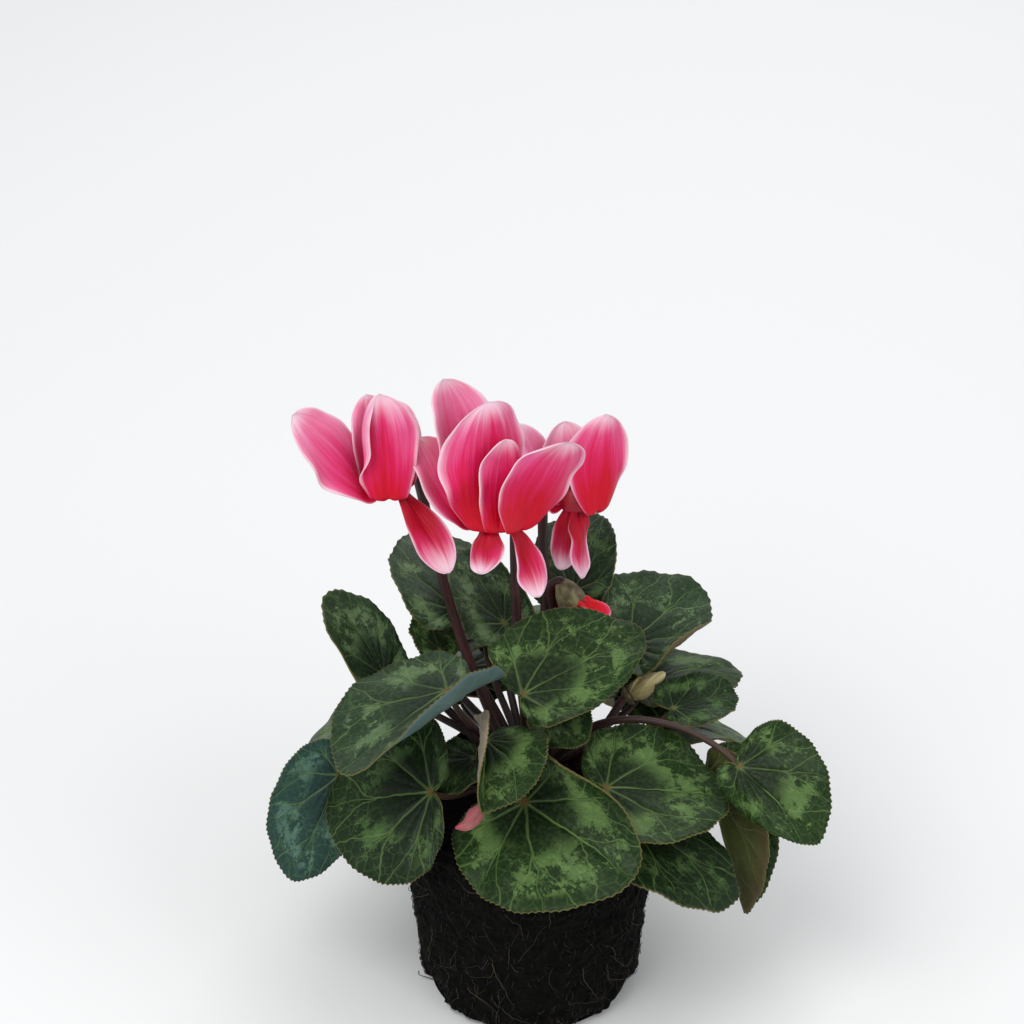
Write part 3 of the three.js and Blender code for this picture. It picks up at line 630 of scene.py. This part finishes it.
def vein_relief(angle, share, reach):
    """Height of the upper face in mm: sunk along the main veins and their forks, puffed up between them."""
    off = np.abs((angle + VEIN_STEP / 2) % VEIN_STEP - VEIN_STEP / 2)
    main = np.exp(-((off * reach / 1.1) ** 2))
    bow = 0.4 * VEIN_STEP * smooth(0.34, 1, share)
    fork = np.exp(-((np.abs(off - bow) * reach / 0.9) ** 2)) * smooth(0.34, 0.5, share)
    main = main * (1 + 0.8 * smooth(0.4, 0.2, np.abs(angle)))
    puffed = np.sin(np.pi * np.clip(off / (VEIN_STEP / 2), 0, 1))
    return -VEIN_DEPTH * main - FORK_DEPTH * fork + PUFF * puffed


def leaf_surface(leaf, number):
    """The solid's blade formula on a fine grid: polar about the foot out to a heart-shaped margin, bent along
    the midrib and arched to each side; with fine teeth on the margin, and relief along the blade's own
    normals."""
    foot, along, up, side, bend, length = blade_frame(leaf)
    sectors = HIDDEN_LEAF_SECTORS if leaf["foot"][1] > HIDDEN_FROM else LEAF_SECTORS
    angle = np.linspace(-NOTCH_EDGE, NOTCH_EDGE, sectors + 1)[:, None]
    ring = np.linspace(0, 1, LEAF_RINGS + 1)[None]
    share = ring * (1.35 - 0.35 * ring)
    angle, share = np.broadcast_arrays(angle, share)
    heart = 0.64 + 0.34 * np.cos(angle) + 0.02 * np.cos(3 * angle)
    heart = heart + POINT * np.exp(-((angle / POINT_WIDTH) ** 2))
    notch = 1 - np.exp(-(((np.pi - np.abs(angle)) / SINUS) ** 2))
    uneven = 1 + 0.007 * np.sin(17 * angle + number) * share**6
    tooth = TOOTH * np.resize(TEETH, sectors + 1)[:, None] * share**14
    reach = share * heart * notch * uneven * length + tooth
    breadth = np.where(angle > 0, leaf["breadth"][0], leaf["breadth"][1])
    x = reach * np.cos(angle) * np.where(np.abs(angle) > np.pi / 2, leaf["back"], 1)
    y = reach * np.sin(angle) * breadth
    turn = bend / 2 - bend * x / length
    radius = length / bend
    ahead = radius * (math.sin(bend / 2) - np.sin(turn))
    rise = radius * (np.cos(turn) - math.cos(bend / 2))
    cup, curl, fold = (np.where(y > 0, a, b) for a, b in zip(leaf["left"], leaf["right"]))
    behind = leaf.get("opens", 0) * smooth(0, -0.3 * length, x) * (y < 0)
    fold, cup = fold - OPEN_FOLD * behind, cup + OPEN_CUP * behind
    width = HALF_WIDTH * length * breadth
    across, lift = 0, 0
    for i in range(ARCH_STEPS):
        part = np.abs(y) * (i + 0.5) / ARCH_STEPS / width
        slope = np.radians(fold + cup * part + curl * part**3)
        across = across + np.abs(y) / ARCH_STEPS * np.cos(slope)
        lift = lift + np.abs(y) / ARCH_STEPS * np.sin(slope)
    wave = WAVE * share**2 * np.sin(5 * angle + leaf["foot"][0])
    wave = wave + 0.9 * share**2.5 * np.sin(3 * angle + 1.9 * number)
    wave = wave + 0.45 * share**3 * np.sin(13 * angle + 2.3 * number)
    wave = wave * smooth(0, WAVE_CALM, reach)
    normal = (-np.sin(turn))[..., None] * along + np.cos(turn)[..., None] * up
    points = foot + ahead[..., None] * along + rise[..., None] * up
    points = points + (np.sign(y) * across)[..., None] * side + (lift + wave)[..., None] * normal
    by_angle = np.gradient(points, axis=0)
    by_share = np.gradient(points, axis=1)
    face = np.cross(by_share, by_angle)
    size = np.linalg.norm(face, axis=-1, keepdims=True)
    face = np.where(size > 1e-3, face / np.maximum(size, 1e-9), normal)
    relief = vein_relief(angle, share, reach) * smooth(0, 0.12, share) * smooth(0, 0.14, 1.02 - share)
    pucker = PUCKER * bumps(points, 4) * smooth(0.05, 0.3, share)
    points = points + (relief + pucker)[..., None] * face
    points[:, 0] = foot
    return grid(points, radial=together(angle / (2 * np.pi) + 0.5, share),
                span=together(reach / length, (number * 0.381966) % 1),
                flat=together(x / length + 3.1 * number, y / length + 1.7 * number))


def leaf_stalk(leaf):
    """A cubic curve from the corm, outwards for a low leaf and steeply for a high one, that comes up under
    the foot of the blade and ends in it."""
    foot, along, up, _, bend, _ = blade_frame(leaf)
    normal = -math.sin(bend / 2) * along + math.cos(bend / 2) * up
    out = unit((foot - CROWN) * (1, 1, 0))
    high = smooth(15, 55, foot[2] - CROWN[2])
    root = CROWN + 7 * out + 9 * UP
    leave = unit((1.1 - 0.8 * high) * out + (0.5 + 0.5 * high) * UP)
    arrive = unit(0.8 * normal + 0.6 * unit(foot - root))
    tilt = math.sqrt(max(0, 1 - (arrive @ normal) ** 2))
    clear = BLADE / 2 + GAP + 0.5 - leaf.get("closer", 0)
    end = foot - normal * (clear + LEAF_STALK_RADIUS * tilt)
    pull = 0.33 * np.linalg.norm(root - end)
    sway = np.array(leaf.get("sway", (0, 0, 0)), float)
    a, b = root + leave * pull + sway, end - arrive * pull + sway
    s = np.linspace(0, 1, 40)[:, None]
    line = (1 - s) ** 3 * root + 3 * (1 - s) ** 2 * s * a + 3 * (1 - s) * s**2 * b + s**3 * end
    line = even(np.vstack([root - leave * 6, line, foot - 0.3 * normal]), 44)
    share = np.linspace(0, 1, len(line))
    return tube(line, LEAF_STALK_RADIUS * (1.1 - 0.38 * share), 10)


for number, (name, leaf) in enumerate(LEAVES.items()):
    add_piece(f"blade_{name}", [leaf_surface(leaf, number)], [leaf["over"], leaf["under"]],
              [f"leaf_{name}"], LEAF_THICKNESS)


def curled_tip():
    """The tip of the small front leaf, which rolls up and hangs to the left: a strip along a curve, with a
    width that swells and closes again, and an arc across of 200 degrees."""
    line = through([(-17.5, -53.5, 121.5), (-19.5, -56, 119), (-23.5, -57.5, 115), (-28.5, -57.5, 113.5)], 30)
    along = unit(np.gradient(line, axis=0))
    side = unit(np.cross(along, (0.3, -0.8, 0.5)))
    high = np.cross(side, along)
    t = np.linspace(0, 1, 31)[:, None]
    u = np.linspace(-1, 1, 17)[None]
    half = 1 + 1.9 * np.sin(np.pi * t**0.8) - t**6
    turn = math.radians(100) * u + 0 * t
    points = (line[:, None] + (half * np.sin(turn))[..., None] * side[:, None]
              - (half * (1 - np.cos(turn)))[..., None] * high[:, None])
    place = together(0.5 + u / 9, 0.3 + 0.7 * t)
    return grid(points, radial=place, flat=place, span=place[..., ::-1])


add_piece("curled_leaf_tip", [curled_tip()], [TIP_PINK], ["leaf_centre_front_small"],
          LEAF_THICKNESS)

# Blooms: petals turn back from the rim of a mouth that faces down. Each is given by the direction that it
# leans in, its lean from straight up, length, width, twist and cup, and its rolls as petal_surface reads
# them. A petal that leans by more than HANGS is a hanging one.
HANGS = 120
PETAL_BASE = 4.4
HANGING_BASE = 3
MOUTH_RADIUS = 5
PLAIN_ROLLS = (0, 0, 1, 1, MOUTH_RADIUS)
TUBE_HEIGHT = 8
PETAL_START = 140
PETAL_TURN_LENGTH = 9
PETAL_FLARE = 14
PETAL_WIDEST = 0.62
PETAL_ROUND = 1.75
PETAL_ROWS = 56
PETAL_COLUMNS = 32
FINE_STEPS = 400
PETAL_SEED = 40
THROAT_PROFILE = ((0, 3), (3.4, -0.2), (5, -1.2), (6.1, -0.4), (6.2, 3), (5, 6.4), (3.4, 8), (0, 8))
CALYX_PROFILE = ((0, 0), (3.5, 0), (4.1, 1.2), (3, 3.6), (1.9, 5.2), (0, 5.4))
BLOOMS = {
    "centre": dict(
        mouth=(-12, 8, 208), axis=(0, 0.3, 1),
        stalk=((0, 14, 93.2), (-5, 22, 150), (-6, 25, 195), (-5, 24, 215)),
        petals=((-106, 3.9, 57, 42, -55.8, -36), (-82.7, 11.7, 45, 21, -17.1, -39.1),
                (-36.3, 27.1, 48.5, 40.4, 11.4, -34.3), (151.8, 13, 62, 40, 12.7, -36.3),
                (169, 28.5, 44, 24.6, 37.2, -30.2), (-128, 162, 19, 16, 0, 40), (-22, 160, 30, 13, -30, 30)),
        rolls=((30, 20, 1, 1, 4.7), (90, -40, 0.78), (70, 60, 1, 1, 6), (30, 20), (20, 70, 1, 1, 6.7),
               (10, 10), (20, 40))),
    "left": dict(
        mouth=(-53, 22, 214), axis=(-0.06, 0.25, 1),
        stalk=((-7, 11, 93.4), (-27, 30, 140), (-38, 33, 185), (-44, 33, 216)),
        petals=((-165, 34.1, 50, 31, 43.6, -25.1), (-94, 4, 49, 27, 10, -40), (122, 5.6, 42, 20, 10, -31),
                (74.1, 8.7, 38, 22, 6.9, -41.2), (-35, 146, 36, 15, -40, 30)),
        rolls=((40, 30, 1, 0.75), (200, 40, 1, 0.62), (20, 20, 1, 1, 4.6), (60, 30, 1, 1, 5.1), (10, 70))),
    "right": dict(
        mouth=(18, 46, 192), axis=(0, 0.25, 1),
        stalk=((6, 11, 94.2), (6, 40, 150), (5, 54, 180), (6, 56, 198)),
        petals=((-30, 2, 46, 28, 30, -32), (107.9, 6.2, 38, 24, -7.9, -28.9), (172, 20, 42, 30, 8, -30),
                (-80, 165, 27, 12, 40, 20), (-120, 165, 24, 13, 0, 40)),
        rolls=((30, 60), (20, 20, 1, 0.5, 4.5), (40, 30, 1, 0.55), (20, 20), (20, 60))),
}


def leaning(axis):
    """The turn that brings straight up onto the axis, as three rows."""
    axis = unit(axis)
    v = np.cross(UP, axis)
    skew = np.array([[0, -v[2], v[1]], [v[2], 0, -v[0]], [-v[1], v[0], 0]])
    return np.eye(3) + skew + skew @ skew / (1 + UP @ axis)


def petal_surface(bloom, petal, rolls, number):
    """The solid's petal formula on a fine grid: a middle line that turns from the mouth to the petal's lean,
    a width that swells and then rounds off, an arc across and a twist. The arc tightens at the edges, which
    roll over and are ruffled, more on one side than on the other; there is a crease near the mouth, and
    shallow ribs. A third number after the two rolls is the share of the pattern's breadth that is shown,
    which leaves the pale rim off the right edge, a fourth is a power that brings the paler tints further
    down, and a fifth is the distance from the axis at which the petal starts."""
    azimuth, lean, length, width, twist, cup = petal
    left, right, shown, paler, radius = (*rolls, *PLAIN_ROLLS[len(rolls):])
    draw = np.random.default_rng(PETAL_SEED + number)
    t = np.linspace(0, 1, PETAL_ROWS + 1)
    fine = np.linspace(0, 1, FINE_STEPS + 1)

    def heading(s):
        settled = lean + PETAL_FLARE * (s - 0.5)
        return np.radians(settled + (PETAL_START - settled) * (1 - smooth(0, PETAL_TURN_LENGTH / length, s)))

    middle = heading((fine[1:] + fine[:-1]) / 2)
    reach = np.interp(t, fine, running(np.sin(middle)) * length / FINE_STEPS)[:, None]
    rise = np.interp(t, fine, running(np.cos(middle)) * length / FINE_STEPS)[:, None]
    base = HANGING_BASE if lean > HANGS else PETAL_BASE
    swell = base + (width / 2 - base) * np.sin(np.clip(t / PETAL_WIDEST, 0, 1) * np.pi / 2)
    past = np.maximum(t - PETAL_WIDEST, 0) / (1 - PETAL_WIDEST)
    end = np.maximum(1e-4, 1 - past**PETAL_ROUND) ** (1 / PETAL_ROUND)
    half = np.where(t < PETAL_WIDEST, swell, width / 2 * end)[:, None]
    rows = t[:, None]
    u = np.linspace(-1, 1, PETAL_COLUMNS + 1)[None]
    axis = unit(bloom["axis"])
    out = leaning(bloom["axis"]) @ toward(azimuth)
    side = np.cross(axis, out)
    angle = heading(t)[:, None, None]
    normal = np.cos(angle) * out - np.sin(angle) * axis
    turn = np.radians(twist * smooth(0, 0.5, t))[:, None, None]
    wide = np.cos(turn) * side + np.sin(turn) * normal
    high = np.cos(turn) * normal - np.sin(turn) * side

    roll = np.radians(np.where(u < 0, left, right)) * -np.sign(cup)
    begin = np.where(np.abs(roll) > 2, 0.35, 0.6)
    turned_over = np.sign(u) * roll * smooth(0.15, 0.55, rows) * smooth(begin, begin + 0.5, np.abs(u))
    slope = math.radians(cup) / (width / 2) * u * half + turned_over
    step = np.gradient(u[0]) * half
    aside = np.cumsum(step * np.cos(slope), axis=1)
    lift = np.cumsum(step * np.sin(slope), axis=1)
    centre = PETAL_COLUMNS // 2
    aside = aside - aside[:, centre:centre + 1]
    lift = lift - lift[:, centre:centre + 1]

    edge = np.abs(u) * np.clip(half / (width / 2), 0, 1)
    phase = draw.uniform(0, 2 * np.pi, 4)
    along_edge = (1.2 * np.sin(rows * length / 5.2 + phase[0] + 1.6 * np.sign(u))
                  + 0.5 * np.sin(rows * length / 2.4 + phase[1]))
    ruffle = smooth(0.45, 1, edge) * smooth(0.12, 0.45, rows) * along_edge
    along_top = 1.5 * np.sin(2.6 * u + phase[2]) + 0.6 * np.sin(6.5 * u + phase[3])
    top = smooth(0.55, 1, rows) * np.minimum(1, 2 * half / width) * along_top
    fold = 1.3 * smooth(0.05, 0.3, rows) * smooth(1, 0.45, rows) * np.sin(3.1 * u + 2.2 * rows + phase[3])
    crease = 0.9 * np.sign(cup) * np.exp(-((u / 0.2) ** 2)) * smooth(0.95, 0.2, rows)
    ribs = 0.11 * np.cos(u * 30 + 2 * np.sin(5 * rows)) * smooth(0.05, 0.3, rows) * (1 - 0.6 * rows)
    lift = lift + ruffle + top + fold + crease + ribs
    points = (np.array(bloom["mouth"]) + (radius + reach)[..., None] * out + rise[..., None] * axis
              + aside[..., None] * wide + lift[..., None] * high)
    across, along = (u + 1) / 2 * shown, rows**paler
    return grid(points, petal=together(across, along),
                streak=together(across * width / 30 + 5.3 * number, along * length / PATTERN + 2.9 * number))


def flower_stalk_line(bloom):
    """Up from the corm past the mouth, over in a hook inside the cup of petals and down onto the tube."""
    axis = unit(bloom["axis"])
    seat = np.array(bloom["mouth"]) + axis * (TUBE_HEIGHT + GAP)
    top = (np.array(bloom["stalk"][-1]) + seat) / 2
    top[2] = seat[2] + 8
    return through([*bloom["stalk"], top, seat + 3 * axis], 90), seat, axis


number = 0
for name, bloom in BLOOMS.items():
    nodes = [f"bloom_{name}"]
    raised, hanging = [], []
    for petal, rolls in zip(bloom["petals"], bloom["rolls"]):
        number += 1
        (hanging if petal[1] > HANGS else raised).append(petal_surface(bloom, petal, rolls, number))
    add_piece(f"petals_{name}", raised, [PETAL_OUTER, PETAL_INNER], nodes, PETAL_THICKNESS)
    add_piece(f"hanging_petals_{name}", hanging, [PETAL_HANGING], nodes, PETAL_THICKNESS)
    throat = turned(THROAT_PROFILE, bloom["mouth"], bloom["axis"], 40, ripple=0.04)
    add_piece(f"throat_{name}", [throat], [THROAT], nodes)
    line, seat, axis = flower_stalk_line(bloom)
    wobble = 1 + 0.05 * np.sin(np.linspace(0, 9, len(line)))
    stem = tube(line, FLOWER_STALK_RADIUS * 0.97 * wobble, 14)
    calyx = turned(CALYX_PROFILE, seat, axis, 40, ripple=0.1)
    calyx["finish"] = 1
    add_piece(f"stem_{name}", [stem, calyx], [STALK_BROWN, CALYX_OLIVE], [f"flower_stalk_{name}"])

# Flowers that are not open yet: wrapped petals on a stalk that grows from the corm, in [radius, distance]
# profiles. The petals that already spread are given as a bloom's.
SPREAD_ROLLS = (20, 40, 1, 1, 3.5)
FIRST_SPREAD = 30
YOUNG = {
    "opening": dict(
        stalk=((13, 17, 88), (14, 32, 122), (10.5, 35, 146), (8, 36, 161), (12, 34, 165)),
        radius=FLOWER_STALK_RADIUS, axis=(0.43, -0.14, -0.88),
        petals=((0, 0.4), (2.8, 0.4), (4.4, 4), (5.6, 7), (7.6, 11), (8, 15), (6.8, 18.5), (3.6, 21),
                (0, 22)),
        calyx=((0, -5), (2.2, -5), (3.4, -3.4), (4.7, -0.6), (5.3, 2.2), (5.5, 4.4), (4.9, 5.6), (0, 4.5)),
        finish=BUD_RED, slot="opening",
        spread=((215, 112, 13, 9, 0, 40), (-104, 132, 12, 9, 20, 40), (-22, 138, 15, 11, 0, 40))),
    "pale": dict(
        stalk=((13, 9, 88), (30, 12, 112), (37, 17, 121)), radius=LEAF_STALK_RADIUS, axis=(0.85, 0.35, 0.4),
        petals=((0, 0.4), (2.4, 0.4), (3.6, 3), (4, 7), (2.8, 12), (1.2, 16), (0, 17)),
        calyx=((0, -2.5), (2, -2.5), (3.2, -1.4), (3.6, 0), (0, 0)), finish=BUD_PALE, slot="bud"),
    "hooked": dict(
        stalk=((-13, 17, 88), (-34, 37, 103), (-46, 39.5, 112.5), (-48.5, 39.5, 119), (-45, 36, 123.5),
               (-42, 33, 119)),
        radius=LEAF_STALK_RADIUS, axis=(0.1, 0, -1),
        petals=((0, 0.4), (1.8, 0.4), (2.6, 3), (2.4, 6), (1, 9), (0, 10)),
        calyx=((0, -1.8), (1.8, -1.8), (2.6, -0.8), (2.8, 0), (0, 0)), finish=BUD_PALE, slot="bud"),
}

for name, young in YOUNG.items():
    axis = unit(young["axis"])
    depth = -young["calyx"][0][1]
    seat = np.array(young["stalk"][-1]) + axis * depth
    body = turned(young["petals"], seat, axis, 90, wrap=0.34, twist=0.45)
    add_piece(f"young_petals_{name}", [body], [young["finish"]], [f"bloom_{name}"])
    line = through([*young["stalk"], seat - axis * depth / 2], 60)
    if "spread" in young:
        mouth = dict(mouth=seat + 3 * axis, axis=-axis)
        petals = [petal_surface(mouth, petal, SPREAD_ROLLS, number)
                  for number, petal in enumerate(young["spread"], FIRST_SPREAD)]
        add_piece(f"spread_petals_{name}", petals, [PETAL_RED], [f"bloom_{name}"], PETAL_THICKNESS)
    calyx = turned(young["calyx"], seat, axis, 60, ripple=0.09, wrap=0.12)
    calyx["finish"] = 1
    add_piece(f"young_stalk_{name}", [tube(line, young["radius"], 12), calyx], [STALK_BROWN, CALYX_PALE],
              ["corm_with_stalks"])
add_piece("leaf_stalks", [leaf_stalk(leaf) for leaf in LEAVES.values()], [LEAF_STALK],
          ["corm_with_stalks"])


def corm_surface():
    """A flattened ball with a rough, scarred skin, half sunk in the soil."""
    turn = np.linspace(0, 2 * np.pi, 81)[None]
    rise = np.linspace(-np.pi / 2, np.pi / 2, 41)[:, None]
    ball = together(np.cos(rise) * np.cos(turn), np.cos(rise) * np.sin(turn), np.sin(rise))
    rough = 1 + 0.035 * bumps(ball, 0.35) + 0.02 * bumps(ball, 0.12)
    points = CROWN + ball * rough[..., None] * (CORM_RADIUS, CORM_RADIUS, CORM_HALF_HEIGHT)
    return grid(points, place=together(turn / 6, rise / 3))


add_piece("corm", [corm_surface()], [CORM_SKIN], ["corm_with_stalks"])


def ball_radius(z):
    """The root ball's radius at a height: a taper, rounded at the foot and at the shoulder."""
    taper = BALL_BASE_RADIUS + (BALL_TOP_RADIUS - BALL_BASE_RADIUS) * z / BALL_HEIGHT
    return taper - 3 * (1 - smooth(0, 3.5, z)) - 3.2 * smooth(BALL_HEIGHT - 5, BALL_HEIGHT + 1, z)


def crumbly(points, outward):
    """Points pushed out and in along `outward` as crumbs of three sizes, with bits broken off low down."""
    push = 1.2 * bumps(points, 8) + 1.2 * np.abs(bumps(points, 3.1)) + 0.6 * bumps(points, 1.4) - 0.6
    bitten = 3.6 * smooth(0.05, 0.6, bumps(points + 50, 9)) * smooth(16, 2, points[..., 2])
    return points + (push - bitten)[..., None] * outward


def root_ball_surface():
    """A skin round the plug of peat: up the flat base, the tapered side and in over the top, with crumbs."""
    rows = [(r, 0) for r in np.linspace(0, BALL_BASE_RADIUS - 3, 16)]
    rows += [(ball_radius(z), z) for z in np.linspace(0.5, BALL_HEIGHT + 1, 120)]
    rows += [(r, BALL_HEIGHT + 1) for r in np.linspace(ball_radius(BALL_HEIGHT + 1), 0, 46)[1:]]
    radius, height = np.array(rows).T[..., None]
    turn = np.linspace(0, 2 * np.pi, 361)[None]
    points = together(radius * np.cos(turn), radius * np.sin(turn), height)
    points[:, -1] = points[:, 0]
    on_top = smooth(BALL_HEIGHT - 3, BALL_HEIGHT + 1, height)[..., None]
    side = together(np.cos(turn), np.sin(turn), 0 * height)
    outward = side * (1 - on_top) + UP * on_top
    pushed = crumbly(points, outward)
    settled = smooth(0, 1.2, height)[..., None]
    points = points * (1 - settled) + pushed * settled
    points[:, -1] = points[:, 0]
    points[-1] = points[-1].mean(axis=0)
    return grid(points, place=together(turn / 6, height / PATTERN))


def root_fibres(count, steps, thickness, proud, seed):
    """Fine roots on the side of the root ball: each sets off somewhere and wanders, mostly downwards, in
    short straight runs, lying on the crumbs or standing a little proud of them."""
    draw = np.random.default_rng(seed)
    one = (count, 1)
    drift = np.cumsum(draw.normal(0, 0.17, (count, steps)), axis=1) + draw.normal(0, 0.4, one)
    stride = draw.uniform(0.5, 1.1, one)
    start = 6 + (BALL_HEIGHT - 8) * draw.uniform(0, 1, one) ** 1.4
    z = np.clip(start - np.cumsum(stride * np.cos(drift), axis=1), 1, BALL_HEIGHT - 2)
    along = draw.uniform(0, 2 * np.pi, one) + np.cumsum(stride * np.sin(drift), axis=1) / MEAN_RADIUS
    wander = draw.uniform(0.5, 1.6, one) * np.linspace(0, 7, steps) + draw.uniform(0, 6, one)
    lift = proud * (1 + 0.7 * np.sin(wander))
    side = together(np.cos(along), np.sin(along), 0 * along)
    line = side * ball_radius(z)[..., None] + z[..., None] * UP
    line = crumbly(line, side) + lift[..., None] * side
    thick = draw.uniform(*thickness, one) * (1 - 0.5 * np.linspace(0, 1, steps) ** 3)
    return [tube(line[i], thick[i], 4) for i in range(count)]


add_piece("peat", [root_ball_surface()], [SOIL], ["root_ball"])
add_piece("roots", root_fibres(110, 24, (0.07, 0.17), 0.45, 5), [ROOT], ["root_ball"])
add_piece("loose_roots", root_fibres(14, 24, (0.15, 0.3), 1.8, 9), [FIBRE], ["root_ball"])
add_piece("fibres", root_fibres(900, 6, (0.08, 0.16), 0.5, 6), [FIBRE], ["root_ball"])

# Each light's name, place in metres, size and power; all aim at one point.
LIGHTS = [
    ("key", (-0.7, -0.9, 1.5), 1.1, 17),
    ("fill", (1.1, -0.7, 0.9), 1.2, 6),
    ("back", (0.2, 1.2, 1.3), 1, 8),
]
LIT_POINT = (0, 0, 0.14)
SKY_STRENGTH = 0.62
CAMERA_DOWN = 31.5
CAMERA_LENS = 115
CAMERA_PLACE = (-0.0071, -1.0438, 0.8573)


def stage():
    """A pale floor, soft lights from the front left, the front right and behind, and an even sky."""
    mesh = bpy.data.meshes.new("floor")
    mesh.from_pydata([(-30, -30, 0), (30, -30, 0), (30, 30, 0), (-30, 30, 0)], [], [(0, 1, 2, 3)])
    floor = placed("floor", mesh)
    f = Finish("floor_paint", Roughness=0.8, Specular_IOR_Level=0.2)
    f.shader.inputs["Base Color"].default_value = tint(235, 235, 233)
    mesh.materials.append(f.material)
    world = bpy.data.worlds.new("sky")
    world.use_nodes = True
    sky = world.node_tree.nodes["Background"].inputs
    sky["Color"].default_value = tint(240, 244, 250)
    sky["Strength"].default_value = SKY_STRENGTH
    bpy.context.scene.world = world
    for name, place, size, power in LIGHTS:
        light = bpy.data.lights.new(name, "AREA")
        light.size = size
        light.energy = power
        lamp = placed(name, light)
        lamp.location = place
        aim = np.array(LIT_POINT) - place
        lamp.rotation_euler = (math.acos(-aim[2] / np.linalg.norm(aim)), 0, math.atan2(-aim[0], aim[1]))


def camera():
    """A long lens that looks down onto the front of the plant."""
    lens = bpy.data.cameras.new("camera")
    lens.lens = CAMERA_LENS
    lens.sensor_width = 36
    eye = placed("camera", lens)
    eye.location = CAMERA_PLACE
    eye.rotation_euler = (math.radians(90 - CAMERA_DOWN), 0, 0)
    bpy.context.scene.camera = eye


stage()
camera()
bpy.context.scene.view_settings.view_transform = "Standard"
